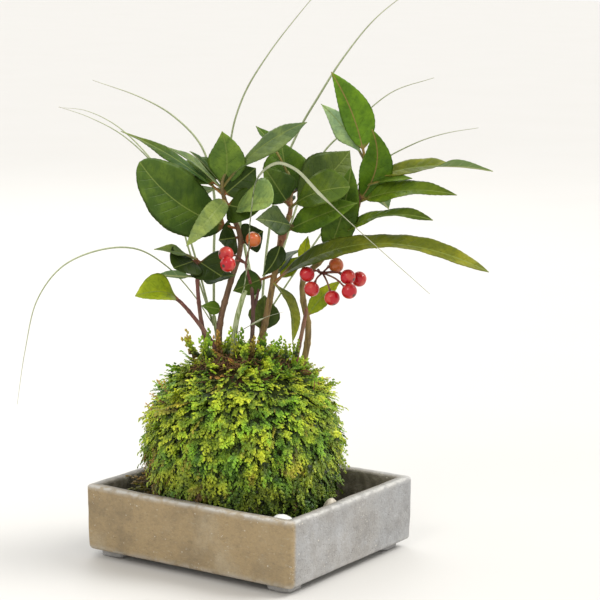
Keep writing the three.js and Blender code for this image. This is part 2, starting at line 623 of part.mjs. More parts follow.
for (const [name, stem] of Object.entries(STEMS)) plant.add(meshOf(name, stemNode(stem), bark));
for (const [name, crown] of Object.entries(CROWNS)) plant.add(meshOf(name, crownNode(crown), leafGreen));
for (const [name, bunch] of Object.entries(BERRIES)) plant.add(meshOf(name, berryNode(bunch), berryRed));
for (const [name, tuft] of Object.entries(SEDGE)) plant.add(meshOf(name, sedgeNode(tuft), sedgeGreen));

const kokedama = new THREE.Group();
kokedama.add(meshOf("tray", traySolid(), stoneware), ...PEBBLES.map(pebbleMesh), plant);

export default kokedama;
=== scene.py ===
import json
import math
import random

import bmesh
import bpy
import numpy as np
from mathutils import Matrix, Vector, noise

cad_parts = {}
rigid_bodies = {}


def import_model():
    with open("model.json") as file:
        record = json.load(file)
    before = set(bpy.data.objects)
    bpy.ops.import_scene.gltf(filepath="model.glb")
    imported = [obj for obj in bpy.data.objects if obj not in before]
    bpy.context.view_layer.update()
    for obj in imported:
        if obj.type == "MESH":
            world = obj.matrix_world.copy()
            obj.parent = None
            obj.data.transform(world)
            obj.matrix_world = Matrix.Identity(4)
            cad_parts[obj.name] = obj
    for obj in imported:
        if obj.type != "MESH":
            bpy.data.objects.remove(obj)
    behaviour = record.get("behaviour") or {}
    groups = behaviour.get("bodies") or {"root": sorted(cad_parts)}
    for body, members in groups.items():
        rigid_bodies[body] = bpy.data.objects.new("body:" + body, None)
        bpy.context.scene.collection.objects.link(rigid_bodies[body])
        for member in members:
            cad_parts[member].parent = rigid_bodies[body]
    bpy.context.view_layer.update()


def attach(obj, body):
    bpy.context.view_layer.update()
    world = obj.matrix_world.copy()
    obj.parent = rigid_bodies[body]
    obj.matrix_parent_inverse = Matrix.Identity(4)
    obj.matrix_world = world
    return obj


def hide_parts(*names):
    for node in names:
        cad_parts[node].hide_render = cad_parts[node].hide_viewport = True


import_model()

# ---------------------------------------------------------------------------------------------
# Tray: a low rectangular dish of grey-brown stoneware, pressed by hand in a mould, so that its
# walls waver a little and its edges are soft. Four small pads of the same clay are its feet.
# ---------------------------------------------------------------------------------------------
TRAY_LONG, TRAY_SHORT, TRAY_TOP = 100.0, 87.5, 30.0
TRAY_UNDERSIDE, TRAY_WALL, TRAY_FLOOR = 3.0, 4.8, 7.0
TRAY_CORNER = 2.0
FOOT_SIDE, FOOT_INSET = 11.0, 3.5


def add(tree, kind, inputs=None, **settings):
    """A node in a tree, with its settings, and each input given a value or another node's output."""
    node = tree.nodes.new(kind)
    for setting, value in settings.items():
        setattr(node, setting, value)
    for socket, value in (inputs or {}).items():
        if isinstance(value, bpy.types.NodeSocket):
            tree.links.new(value, node.inputs[socket])
        else:
            node.inputs[socket].default_value = value
    return node


def new_finish(name, **constants):
    """A material, its node tree and its shader, with constants set on the shader's own sockets."""
    material = bpy.data.materials.new(name)
    material.use_nodes = True
    tree = material.node_tree
    shader = next(n for n in tree.nodes if n.type == "BSDF_PRINCIPLED")
    for socket, value in constants.items():
        shader.inputs[socket.replace("_", " ")].default_value = value
    return material, tree, shader


def mottle(tree, size, detail=3.0, roughness=0.55, stretch=(1, 1, 1)):
    """Noise from 0 to 1 with lumps of about this size in millimetres, in the object's own space."""
    place = add(tree, "ShaderNodeTexCoord").outputs["Object"]
    place = add(tree, "ShaderNodeMapping", {"Vector": place, "Scale": stretch}).outputs["Vector"]
    inputs = {"Vector": place, "Scale": 1000 / size, "Detail": detail, "Roughness": roughness}
    return add(tree, "ShaderNodeTexNoise", inputs).outputs["Fac"]


def cells(tree, size):
    """Distance from the nearest of many scattered points about this far apart, in millimetres."""
    place = add(tree, "ShaderNodeTexCoord").outputs["Object"]
    return add(tree, "ShaderNodeTexVoronoi", {"Vector": place, "Scale": 1000 / size}).outputs["Distance"]


def remap(tree, value, low, high, to_low=0.0, to_high=1.0):
    """A value mapped smoothly from one range to another, and held at its ends."""
    inputs = {0: value, 1: low, 2: high, 3: to_low, 4: to_high}
    return add(tree, "ShaderNodeMapRange", inputs, interpolation_type="SMOOTHSTEP").outputs[0]


def maths(tree, operation, first, second):
    """A sum of two values, each a number or another node's output."""
    return add(tree, "ShaderNodeMath", {0: first, 1: second}, operation=operation).outputs[0]


def colour_mix(tree, share, first, second, way="MIX"):
    """Two colours mixed, each a linear red, green and blue or another node's colour."""
    paints = [c if isinstance(c, bpy.types.NodeSocket) else (*c, 1) for c in (first, second)]
    inputs = {0: share, 6: paints[0], 7: paints[1]}
    return add(tree, "ShaderNodeMix", inputs, data_type="RGBA", blend_type=way).outputs[2]


def own_value(tree, name, output="Fac"):
    """An attribute of the piece's own mesh."""
    return add(tree, "ShaderNodeAttribute", attribute_name=name).outputs[output]


def stained(tree, colour, stain, low, high, most, *noise_kind):
    """A colour with a stain that comes in as mottle's noise goes from low to high, to a share of most."""
    return colour_mix(tree, remap(tree, mottle(tree, *noise_kind), low, high, 0.0, most), colour, stain)


def lay_on(tree, shader, colour, height, depth):
    """Ends a finish: its colour and its bump, where height from 0 to 1 is a depth in millimetres."""
    tree.links.new(colour, shader.inputs["Base Color"])
    bump = add(tree, "ShaderNodeBump", {"Height": height, "Distance": depth / 1000, "Strength": 1.0})
    tree.links.new(bump.outputs["Normal"], shader.inputs["Normal"])


def give_values(mesh, label, numbers):
    """Stores one number, or one colour, per point of a mesh."""
    numbers = np.asarray(numbers, np.float32)
    if numbers.ndim == 2:
        layer = mesh.attributes.new(label, "FLOAT_COLOR", "POINT")
        layer.data.foreach_set("color", np.c_[numbers, np.ones(len(numbers))].astype(np.float32).ravel())
    else:
        mesh.attributes.new(label, "FLOAT", "POINT").data.foreach_set("value", numbers)


def new_object(name, mesh):
    """An object for a mesh, a lamp or a lens, in the scene."""
    made = bpy.data.objects.new(name, mesh)
    bpy.context.scene.collection.objects.link(made)
    return made


def make_piece(name, points, faces, finishes, slots=None, smooth=True, values=None):
    """A piece from points in row-frame millimetres, its faces turned outwards if they point inwards.

    slots gives each face's finish, and values holds one number or colour per point.
    """
    points = np.asarray(points, float) / 1000
    volume = 0.0
    for face in faces:
        a, b = points[face[0]], points[face[1]]
        for corner in face[2:]:
            c = points[corner]
            volume += a @ np.cross(b, c)
            b = c
    if volume < 0:
        faces = [tuple(face)[::-1] for face in faces]
    mesh = bpy.data.meshes.new(name)
    mesh.from_pydata(points.tolist(), [], [tuple(int(i) for i in face) for face in faces])
    for finish in finishes:
        mesh.materials.append(finish)
    if slots is not None:
        mesh.polygons.foreach_set("material_index", np.asarray(slots, np.int32))
    mesh.polygons.foreach_set("use_smooth", np.full(len(mesh.polygons), smooth))
    for label, numbers in (values or {}).items():
        give_values(mesh, label, numbers)
    mesh.update()
    return new_object(name, mesh)


def mount_piece(piece, slot, *nodes):
    """The piece rides on the body and stands for its CAD nodes, which it hides; slot is not used."""
    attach(piece, "root")
    if nodes:
        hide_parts(*nodes)


def lumps(points, size, seed=0.0):
    """Smooth noise from -1 to 1 at each point, with lumps of about this size in millimetres."""
    return np.array([noise.noise(Vector(p) / size + Vector((seed, seed, seed))) for p in points])


def rounded_ring(long, short, corner, height, along_long=44, along_short=38, round_corner=8):
    """A rounded rectangle of points at one height, counter-clockwise."""
    corner = min(corner, 0.49 * long, 0.49 * short)
    x, y = long / 2 - corner, short / 2 - corner
    arcs = []
    for (cx, cy), start in zip(((x, -y), (x, y), (-x, y), (-x, -y)), (-90, 0, 90, 180)):
        turns = np.radians(start + np.linspace(0, 90, round_corner + 1))
        arcs.append(np.c_[cx + corner * np.cos(turns), cy + corner * np.sin(turns)])
    ring = []
    for k, arc in enumerate(arcs):
        ring.append(arc)
        count = along_short if k % 2 == 0 else along_long
        steps = np.linspace(0, 1, count + 2)[1:-1, None]
        ring.append(arc[-1] + (arcs[(k + 1) % 4][0] - arc[-1]) * steps)
    ring = np.concatenate(ring)
    return np.c_[ring, np.full(len(ring), height)]


def ring_faces(rings, size):
    """Quads between rings that follow each other and have one number of points."""
    return [(r * size + k, r * size + (k + 1) % size, (r + 1) * size + (k + 1) % size, (r + 1) * size + k)
            for r in range(rings - 1) for k in range(size)]


def closed_skin(points, size, low, high):
    """Points and faces of a skin of rings, closed by a fan on a low and on a high middle point."""
    rings, last = len(points) // size, len(points) - size
    faces = ring_faces(rings, size)
    for k in range(size):
        after = (k + 1) % size
        faces.append((after, k, len(points)))
        faces.append((last + k, last + after, len(points) + 1))
    return np.r_[points, [low, high]], faces


def join(skins):
    """Points and faces of several skins as those of one."""
    points, faces = [], []
    for skin_points, skin_faces in skins:
        faces.extend(tuple(len(points) + i for i in face) for face in skin_faces)
        points.extend(skin_points)
    return np.array(points), faces


def arc_profile(inset, height, radius, start, end, steps):
    """Points on an arc round a place in the wall's section, from one angle to another in degrees."""
    turns = np.radians(np.linspace(start, end, steps + 1))
    return [(inset + radius * math.cos(t), height + radius * math.sin(t)) for t in turns]


# The wall's section, from the middle of the underside, up the outside and down to the dish's floor.
BOTTOM_ROUND, RIM_ROUND, FILLET = 1.8, 1.15, 3.0
RIM_FROM, INNER_FROM, WORN_TO = 1.6, TRAY_WALL - 0.6, 1.3
OUTSIDE_STEPS = 30
profile = [(inset, TRAY_UNDERSIDE) for inset in (43.0, 36.0, 27.0, 18.0, 10.0, 5.0)]
profile += arc_profile(BOTTOM_ROUND, TRAY_UNDERSIDE + BOTTOM_ROUND, BOTTOM_ROUND, 270, 180, 6)
profile += [(0.0, z) for z in np.linspace(TRAY_UNDERSIDE + BOTTOM_ROUND, TRAY_TOP - RIM_ROUND, 22)[1:-1]]
profile += arc_profile(RIM_ROUND, TRAY_TOP - RIM_ROUND, RIM_ROUND, 180, 90, 5)
profile += arc_profile(TRAY_WALL - RIM_ROUND, TRAY_TOP - RIM_ROUND, RIM_ROUND, 90, 0, 5)
profile += [(TRAY_WALL, z) for z in np.linspace(TRAY_TOP - RIM_ROUND, TRAY_FLOOR + FILLET, 16)[1:-1]]
profile += arc_profile(TRAY_WALL + FILLET, TRAY_FLOOR + FILLET, FILLET, 180, 270, 5)
profile += [(inset, TRAY_FLOOR) for inset in (12.0, 18.0, 25.0, 32.0, 38.0, 43.0)]
rings, inside, edge = [], [], []
for step, (inset, height) in enumerate(profile):
    corner = max(TRAY_CORNER - inset, 1.6)
    ring = rounded_ring(TRAY_LONG - 2 * inset, TRAY_SHORT - 2 * inset, corner, height)
    rings.append(ring)
    within = 1.0 if inset > INNER_FROM and step > OUTSIDE_STEPS else 0.0
    if height > TRAY_TOP - RIM_ROUND:
        within = 0.8 * min(max((inset - RIM_FROM) / (TRAY_WALL - 2.0), 0), 1)
    inside.append(np.full(len(ring), within))
    near_edge = max(0.0, 1 - abs(height - TRAY_TOP + 0.3) / 1.3) if inset < WORN_TO else 0.0
    near_edge = max(near_edge, 0.5 * max(0.0, 1 - abs(height - TRAY_UNDERSIDE - 0.8) / 1.6))
    edge.append(np.full(len(ring), near_edge))
size = len(rings[0])
tray_points = np.concatenate(rings)
inside, edge = np.concatenate(inside), np.concatenate(edge)

# The walls waver in long and short waves, lean in at the foot, and the rim and the floor dip.
outward = tray_points[:, :2] / np.maximum(np.linalg.norm(tray_points[:, :2], axis=1), 1)[:, None]
waver = 0.34 * lumps(tray_points, 33) + 0.16 * lumps(tray_points, 9, 4) + 0.06 * lumps(tray_points, 2.6, 9)
lean = 0.3 * np.clip((14 - tray_points[:, 2]) / 11, 0, 1) * (inside < 0.5)
tray_points[:, :2] += outward * (waver - lean + 0.45)[:, None]
low_share = np.clip((tray_points[:, 2] - 12) / 18, 0, 1)
tray_points[:, 2] += low_share * (0.45 * lumps(tray_points, 26, 2) + 0.15 * lumps(tray_points, 7, 7) - 0.3)
floor_share = inside * np.clip((9 - tray_points[:, 2]) / 2, 0, 1)
tray_points[:, 2] += floor_share * (0.12 * lumps(tray_points, 11, 3) - 0.12)
clay_skins = [closed_skin(tray_points, size, (0, 0, TRAY_UNDERSIDE), (0, 0, TRAY_FLOOR - 0.1))]
inside, edge = np.r_[inside, 0, 1], np.r_[edge, 0, 0]

# Four feet: soft square pads that run 1.4 mm up into the clay.
FOOT_UP, FOOT_CORNER = 4.4, 2.6
FOOT_SECTION = [(3.4, 0.0), (1.2, 0.0), (0.4, 0.25), (0.05, 0.9), (0.0, 2.0), (0.3, 4.2), (3.4, FOOT_UP)]
for sx in (-1, 1):
    for sy in (-1, 1):
        middle = (sx * (TRAY_LONG / 2 - FOOT_INSET - FOOT_SIDE / 2),
                  sy * (TRAY_SHORT / 2 - FOOT_INSET - FOOT_SIDE / 2))
        foot = []
        for inset, height in FOOT_SECTION:
            ring = rounded_ring(FOOT_SIDE - 2 * inset, FOOT_SIDE - 2 * inset, FOOT_CORNER, height, 8, 8, 5)
            ring[:, :2] += ring[:, :2] * (0.05 * lumps(ring + [*middle, 0], 4))[:, None]
            foot.append(ring + [*middle, 0])
        foot_points = np.concatenate(foot)
        clay_skins.append(closed_skin(foot_points, len(foot[0]), (*middle, 0.0), (*middle, FOOT_UP)))
        inside = np.r_[inside, np.zeros(len(foot_points) + 2)]
        edge = np.r_[edge, np.full(len(foot_points) + 2, 0.2)]
tray_points, tray_faces = join(clay_skins)

stoneware, tree, shader = new_finish("fired stoneware", Roughness=0.78, Specular_IOR_Level=0.35)
# The front face is painted warm brown as light thrown up onto it from below, a painted reflection, and the
# grime and bloom stains take the same painted warmth there; elsewhere the clay is cool grey.
cool, warm_bounce = (0.35, 0.355, 0.36), (0.37, 0.275, 0.15)
place = add(tree, "ShaderNodeTexCoord").outputs["Object"]
along_y = add(tree, "ShaderNodeSeparateXYZ", {0: place}).outputs["Y"]
front = remap(tree, along_y, -0.0425, -0.0395, 1.0, 0.0)
patchy = remap(tree, mottle(tree, 30, 4), 0.35, 0.7)
clay = colour_mix(tree, maths(tree, "MAXIMUM", front, maths(tree, "MULTIPLY", patchy, 0.2)), cool, warm_bounce)
grime_and_bounce = colour_mix(tree, front, (0.2, 0.195, 0.19), (0.17, 0.135, 0.085))
bloom_and_bounce = colour_mix(tree, front, (0.5, 0.51, 0.53), (0.46, 0.4, 0.29))
for stain in ((grime_and_bounce, 0.42, 0.72, 0.55, 14, 6, 0.65), (grime_and_bounce, 0.5, 0.74, 0.4, 4, 4, 0.6, (1, 1, 1.8)),
              (bloom_and_bounce, 0.52, 0.74, 0.45, 17, 5, 0.6, (1, 1, 0.6)),
              (bloom_and_bounce, 0.58, 0.72, 0.45, 2.6, 4, 0.6, (1, 1, 2.5)),
              ((0.13, 0.11, 0.085), 0.35, 0.75, 0.16, 1.1, 2)):
    clay = stained(tree, clay, *stain)
worn = maths(tree, "MULTIPLY", own_value(tree, "edge"), remap(tree, mottle(tree, 3, 3), 0.35, 0.6, 0.3, 0.95))
clay = colour_mix(tree, worn, clay, (0.56, 0.55, 0.52))
# The inside of the dish is painted darker: damp clay, and painted shade in the hollow under the rim.
damp_and_shade = colour_mix(tree, remap(tree, mottle(tree, 5, 5), 0.35, 0.75), (0.17, 0.15, 0.115), (0.38, 0.34, 0.28))
clay = colour_mix(tree, own_value(tree, "inside"), clay, damp_and_shade)
for apart, core, rim, patch, low, high, most, grain in (
        (3.1, 0.07, 0.13, 7, 0.48, 0.6, 0.75, (0.72, 0.67, 0.58)),
        (1.3, 0.12, 0.2, 11, 0.54, 0.66, 0.6, (0.68, 0.66, 0.6))):
    grit = remap(tree, cells(tree, apart), core, rim, 1.0, 0.0)
    grit = maths(tree, "MULTIPLY", grit, remap(tree, mottle(tree, patch, 2), low, high))
    clay = colour_mix(tree, maths(tree, "MULTIPLY", grit, most), clay, grain)
pits = remap(tree, cells(tree, 1.7), 0.05, 0.3)
skin = maths(tree, "ADD", maths(tree, "MULTIPLY", pits, 0.5), mottle(tree, 0.9, 4, 0.6))
lay_on(tree, shader, clay, maths(tree, "ADD", skin, mottle(tree, 5, 3)), 0.3)

tray = make_piece("dish_of_stoneware", tray_points, tray_faces, [stoneware],
                  values={"inside": inside, "edge": edge})
mount_piece(tray, "stoneware", "tray")

# ---------------------------------------------------------------------------------------------
# Pebbles: water-worn quartz and limestone. Two of about 22 mm stand on end between the ball and
# the tray's wall and steady the ball; five small ones lie loose in the corners.
# ---------------------------------------------------------------------------------------------
PEBBLES = [  # name, node, place, three lengths, turn, colour
    ("near_corner", "pebble_1", (38.0, -32.4), (13, 11, 21.6), 20, (0.9, 0.9, 0.88)),
    ("wall_side", "pebble_2", (40.6, -2), (7.4, 9, 21.4), 0, (0.55, 0.5, 0.4)),
    ("right_corner", "pebble_3", (39, 30), (7.4, 6, 3.4), -30, (0.62, 0.57, 0.48)),
    ("right_wall", "pebble_4", (41, 17), (4.6, 3.8, 2.6), 60, (0.68, 0.62, 0.52)),
    ("left_corner", "pebble_5", (-40, -31), (5, 4, 2.6), 10, (0.7, 0.68, 0.63)),
    ("far_corner", "pebble_6", (-40, 31), (7, 5, 3.2), 40, (0.5, 0.46, 0.4)),
    ("far_wall", "pebble_7", (-41, 18), (4.4, 3.4, 2.4), -20, (0.6, 0.56, 0.5)),
]
PEBBLE_LIFT = 0.15


def flecked(tree, colour, fleck, apart, low, high, most):
    """A colour with flecks this far apart, each with a share of most inside low and of 0 past high."""
    return colour_mix(tree, remap(tree, cells(tree, apart), low, high, most, 0.0), colour, fleck)


worn_stone, tree, shader = new_finish("worn pebble", Roughness=0.42)
stone = own_value(tree, "tint", "Color")
stone = stained(tree, stone, (0.35, 0.29, 0.22), 0.4, 0.7, 0.35, 2.2, 4)
stone = flecked(tree, stone, (0.2, 0.17, 0.14), 0.9, 0.1, 0.2, 0.35)
lay_on(tree, shader, stone, mottle(tree, 0.7, 3), 0.06)


def ball_mesh(subdivisions):
    """Points and faces of an even sphere with a radius of 1."""
    ball = bmesh.new()
    bmesh.ops.create_icosphere(ball, subdivisions=subdivisions, radius=1)
    points = np.array([v.co for v in ball.verts])
    faces = [[v.index for v in f.verts] for f in ball.faces]
    ball.free()
    return points, faces


for label, node, (x, y), lengths, turn, tint in PEBBLES:
    points, faces = ball_mesh(4)
    points *= (1 + 0.1 * lumps(points, 0.9, x) + 0.03 * lumps(points, 0.3, y))[:, None]
    points = np.sign(points) * np.abs(points) ** 0.9 * np.array(lengths) / 2
    c, s = math.cos(math.radians(turn)), math.sin(math.radians(turn))
    points = points @ np.array([[c, s, 0], [-s, c, 0], [0, 0, 1]])
    points += [x, y, TRAY_FLOOR + PEBBLE_LIFT - points[:, 2].min()]
    pebble = make_piece("stone_" + label, points, faces, [worn_stone],
                        values={"tint": np.tile(tint, (len(points), 1))})
    mount_piece(pebble, "pebble", node)

# ---------------------------------------------------------------------------------------------
# Soil ball: peat and clay pressed round the roots, 73 mm across. It is bare only at the crown,
# where brown root fibres mat together between the stems.
# ---------------------------------------------------------------------------------------------
PLANT_TURN = math.radians(35.5)
BALL_MIDDLE = np.array([-2.8, 0.0, 44.0])
BALL_REACH, BALL_SQUARENESS, FIT_GAP = 40.0, 2.3, 0.3
MOSS_THICK = 3.4
RIM_CLEAR, WALL_SWELL = 1.5, 1.2


def planted(points):
    """Points of the plant, whose front looks at the camera, turned into the row frame."""
    points = np.asarray(points, float)
    c, s = math.cos(PLANT_TURN), math.sin(PLANT_TURN)
    x, y = points[..., 0], points[..., 1]
    return np.stack([x * c - y * s, x * s + y * c, points[..., 2]], -1)


def ball_reach(d, inset):
    """How far the ball's side is from its middle along each direction, less inset.

    The tray's walls and floor press it in, and over the rim it swells out again.
    """
    across = np.hypot(d[:, 0], d[:, 1]) / (BALL_REACH - inset)
    high = np.abs(d[:, 2]) / (BALL_REACH - inset)
    reach = (across ** BALL_SQUARENESS + high ** BALL_SQUARENESS) ** (-1 / BALL_SQUARENESS)
    floor = (BALL_MIDDLE[2] - TRAY_FLOOR - FIT_GAP - inset) / np.maximum(-d[:, 2], 1e-6)
    reach = np.where(d[:, 2] < 0, np.minimum(reach, floor), reach)
    toward, middle = planted(d), planted(BALL_MIDDLE)
    rim = TRAY_TOP + RIM_CLEAR - BALL_MIDDLE[2]
    for axis, length in ((0, TRAY_LONG), (1, TRAY_SHORT)):
        side = np.maximum(np.abs(toward[:, axis]), 1e-6)
        room = length / 2 - TRAY_WALL - 2 * FIT_GAP - inset - np.sign(toward[:, axis]) * middle[axis]
        low = room / side * d[:, 2] < rim
        swell = side - WALL_SWELL * d[:, 2]
        above = (room - WALL_SWELL * rim) / np.maximum(swell, 1e-6)
        reach = np.where(low, np.minimum(reach, room / side), reach)
        reach = np.where(~low & (swell > 1e-6), np.minimum(reach, above), reach)
    return reach


def smooth_path(points, spacing):
    """Points this far apart on the centripetal curve through the given points."""
    points = np.asarray(points, float)
    points = np.r_[[2 * points[0] - points[1]], points, [2 * points[-1] - points[-2]]]
    fine = []
    for p0, p1, p2, p3 in zip(points, points[1:], points[2:], points[3:]):
        pairs = ((p0, p1), (p1, p2), (p2, p3))
        d0, d1, d2 = (max(np.linalg.norm(b - a), 1e-6) ** 0.5 for a, b in pairs)
        m1 = ((p1 - p0) / d0 - (p2 - p0) / (d0 + d1) + (p2 - p1) / d1) * d1
        m2 = ((p2 - p1) / d1 - (p3 - p1) / (d1 + d2) + (p3 - p2) / d2) * d1
        t = np.linspace(0, 1, 25)[:-1, None]
        fine.append((2 * t**3 - 3 * t**2 + 1) * p1 + (t**3 - 2 * t**2 + t) * m1
                    + (3 * t**2 - 2 * t**3) * p2 + (t**3 - t**2) * m2)
    fine = np.concatenate(fine + [[points[-2]]])
    run = np.r_[0, np.cumsum(np.linalg.norm(np.diff(fine, axis=0), axis=1))]
    even = np.linspace(0, run[-1], max(3, int(run[-1] / spacing) + 1))
    return np.stack([np.interp(even, run, fine[:, k]) for k in range(3)], -1)


def new_tree(name, inputs):
    """A Geometry Nodes tree with named inputs, and the outputs of its input node."""
    tree = bpy.data.node_groups.new(name, "GeometryNodeTree")
    for label, kind in inputs:
        tree.interface.new_socket(label, in_out="INPUT", socket_type="NodeSocket" + kind)
    tree.interface.new_socket("Made", in_out="OUTPUT", socket_type="NodeSocketGeometry")
    return tree, tree.nodes.new("NodeGroupInput").outputs


def close_tree(tree, made, finish):
    """Ends a tree in Realize Instances and Set Material."""
    real = add(tree, "GeometryNodeRealizeInstances", {0: made}).outputs[0]
    painted = add(tree, "GeometryNodeSetMaterial", {"Geometry": real, "Material": finish}).outputs[0]
    tree.links.new(painted, tree.nodes.new("NodeGroupOutput").inputs[0])


def grow(base, tree, settings, name):
    """Runs a tree on an object and gives back the result as a plain piece; the object goes."""
    modifier = base.modifiers.new("grow", "NODES")
    modifier.node_group = tree
    for item in tree.interface.items_tree:
        if item.in_out == "INPUT" and item.name in settings:
            modifier[item.identifier] = settings[item.name]
    seen = bpy.context.evaluated_depsgraph_get()
    mesh = bpy.data.meshes.new_from_object(base.evaluated_get(seen))
    bpy.data.objects.remove(base)
    mesh.name = name
    return new_object(name, mesh)


def attribute(tree, name):
    """A number that the mesh carries at each point, inside a Geometry Nodes tree."""
    return add(tree, "GeometryNodeInputNamedAttribute", {"Name": name}, data_type="FLOAT").outputs[0]


# Every round or keeled thing here, from roots to grass, is one outline swept along its paths.
sweep, given = new_tree("sweep an outline along paths", [
    ("Paths", "Geometry"), ("Outline", "Object"), ("Relief", "Float"), ("Relief size", "Float"),
    ("Finish", "Material")])
curve = add(sweep, "GeometryNodeMeshToCurve", {"Mesh": given["Paths"]}).outputs[0]
section = add(sweep, "GeometryNodeObjectInfo", {"Object": given["Outline"]}).outputs["Geometry"]
section = add(sweep, "GeometryNodeMeshToCurve", {"Mesh": section}).outputs[0]
solid = add(sweep, "GeometryNodeCurveToMesh", {
    "Curve": curve, "Profile Curve": section, "Scale": attribute(sweep, "girth"), "Fill Caps": True}).outputs[0]
spot = add(sweep, "GeometryNodeInputPosition").outputs[0]
rough = add(sweep, "ShaderNodeTexNoise", {
    "Vector": spot, "Scale": given["Relief size"], "Detail": 2.0}).outputs[0]
rough = maths(sweep, "MULTIPLY", maths(sweep, "SUBTRACT", rough, 0.5), given["Relief"])
outward = add(sweep, "GeometryNodeInputNormal").outputs[0]
shift = add(sweep, "ShaderNodeVectorMath", {0: outward, "Scale": rough}, operation="SCALE").outputs[0]
solid = add(sweep, "GeometryNodeSetPosition", {"Geometry": solid, "Offset": shift}).outputs[0]
solid = add(sweep, "GeometryNodeSetShadeSmooth", {"Geometry": solid, "Shade Smooth": True}).outputs[0]
close_tree(sweep, solid, given["Finish"])


def swept(name, paths, outline, finish, relief=0.0, relief_size=1.0):
    """A piece that sweeps an outline along paths, each with its points, girths and tints.

    relief is the depth of the lumps on it, and relief_size their length, all in millimetres.
    """
    points, edges, girths, tints = [], [], [], []
    for path, girth, tint in paths:
        start = len(points)
        points.extend(np.asarray(path) / 1000)
        edges.extend((start + k, start + k + 1) for k in range(len(path) - 1))
        girths.extend(np.asarray(girth) / 1000)
        tints.extend(tint)
    mesh = bpy.data.meshes.new(name)
    mesh.from_pydata([tuple(p) for p in points], edges, [])
    give_values(mesh, "girth", girths)
    give_values(mesh, "tint", tints)
    loop = bpy.data.meshes.new("outline")
    count = len(outline)
    loop.from_pydata([(x, y, 0) for x, y in outline], [(k, (k + 1) % count) for k in range(count)], [])
    section = new_object("outline", loop)
    made = grow(new_object(name, mesh), sweep, {
        "Outline": section, "Relief": relief / 1000, "Relief size": 1000 / relief_size,
        "Finish": finish}, name)
    bpy.data.objects.remove(section)
    shell = bmesh.new()
    shell.from_mesh(made.data)
    bmesh.ops.recalc_face_normals(shell, faces=shell.faces)
    shell.to_mesh(made.data)
    shell.free()
    return made


def polygon(sides, flat=1.0):
    """A round outline with a radius of 1, or a flattened one."""
    turns = 2 * math.pi * np.arange(sides) / sides
    return [(math.cos(t), flat * math.sin(t)) for t in turns]


peat, tree, shader = new_finish("peat and clay", Roughness=0.95, Specular_IOR_Level=0.2)
earth = remap(tree, mottle(tree, 2.5, 5), 0.35, 0.7)
earth = colour_mix(tree, earth, (0.018, 0.011, 0.007), (0.13, 0.07, 0.03))
earth = stained(tree, earth, (0.2, 0.115, 0.045), 0.5, 0.75, 0.6, 9, 3)
lay_on(tree, shader, earth, mottle(tree, 0.8, 5, 0.7), 0.5)

directions, faces = ball_mesh(6)
directions = np.array([Vector(d).normalized() for d in directions])
reach = ball_reach(directions, MOSS_THICK)
points = BALL_MIDDLE + directions * reach[:, None]
crumbs = 0.5 * lumps(points, 3.2) + 0.35 * np.abs(lumps(points, 1.3, 5))
on_crown = np.clip((directions[:, 2] - 0.75) / 0.1, 0, 1)
points += directions * (on_crown * (crumbs + 0.5))[:, None]
soil = make_piece("peat_ball", planted(points), faces, [peat])
mount_piece(soil, "soil", "soil_ball")

fibre, tree, shader = new_finish("root fibre", Roughness=0.85)
strand = colour_mix(tree, remap(tree, mottle(tree, 1.4, 3), 0.35, 0.7, 0.2, 1.0), (0.04, 0.02, 0.01),
                    own_value(tree, "tint", "Color"))
lay_on(tree, shader, strand, mottle(tree, 0.5, 2), 0.05)

CROWN_MIDDLE, CROWN_LONG, CROWN_SHORT = np.array([2.0, 2.0]), 24.0, 15.0
ROOT_TINTS = [(0.3, 0.14, 0.05), (0.22, 0.09, 0.035), (0.36, 0.2, 0.08), (0.12, 0.055, 0.025)]
ROOT_COUNT, ROOT_STEPS, SPILL_BEARING, SPILL_SPREAD = 360, 7, 241, 13


def ball_top(xy, inset):
    """Height of the ball's upper side, less inset, over places on the plan."""
    out = np.hypot(*(xy - BALL_MIDDLE[:2]).T) / (BALL_REACH - inset)
    high = np.maximum(1 - np.minimum(out, 0.999) ** BALL_SQUARENESS, 0) ** (1 / BALL_SQUARENESS)
    return BALL_MIDDLE[2] + (BALL_REACH - inset) * high


# Every third root lies at the front of the crown, where the mat spills over the moss.
draw = random.Random(41)
roots = []
for k in range(ROOT_COUNT):
    bearing, out = draw.uniform(0, 2 * math.pi), draw.uniform(0.05, 1.12) ** 0.7
    if k % 3 == 0:
        bearing, out = math.radians(draw.gauss(SPILL_BEARING, SPILL_SPREAD)), draw.uniform(0.85, 1.35)
    start = CROWN_MIDDLE + out * np.array([CROWN_LONG * math.cos(bearing), CROWN_SHORT * math.sin(bearing)])
    heading, length = draw.uniform(0, 2 * math.pi), draw.uniform(3, 9)
    path, sunk = [], 1.0 if k % 3 == 0 else 2.6
    for step in np.linspace(0, 1, ROOT_STEPS):
        heading += draw.gauss(0, 0.5)
        start = start + length / ROOT_STEPS * np.array([math.cos(heading), math.sin(heading)])
        rise = draw.uniform(0.0, 1.4) * math.sin(math.pi * step) + draw.uniform(0, 0.5)
        path.append([*start, ball_top(start[None], sunk)[0] + rise])
    path = smooth_path(path, 0.7)
    thick = draw.uniform(0.1, 0.24)
    girths = thick * (1 - 0.6 * np.linspace(0, 1, len(path)))
    roots.append((planted(path), girths, [ROOT_TINTS[k % 4]] * len(path)))

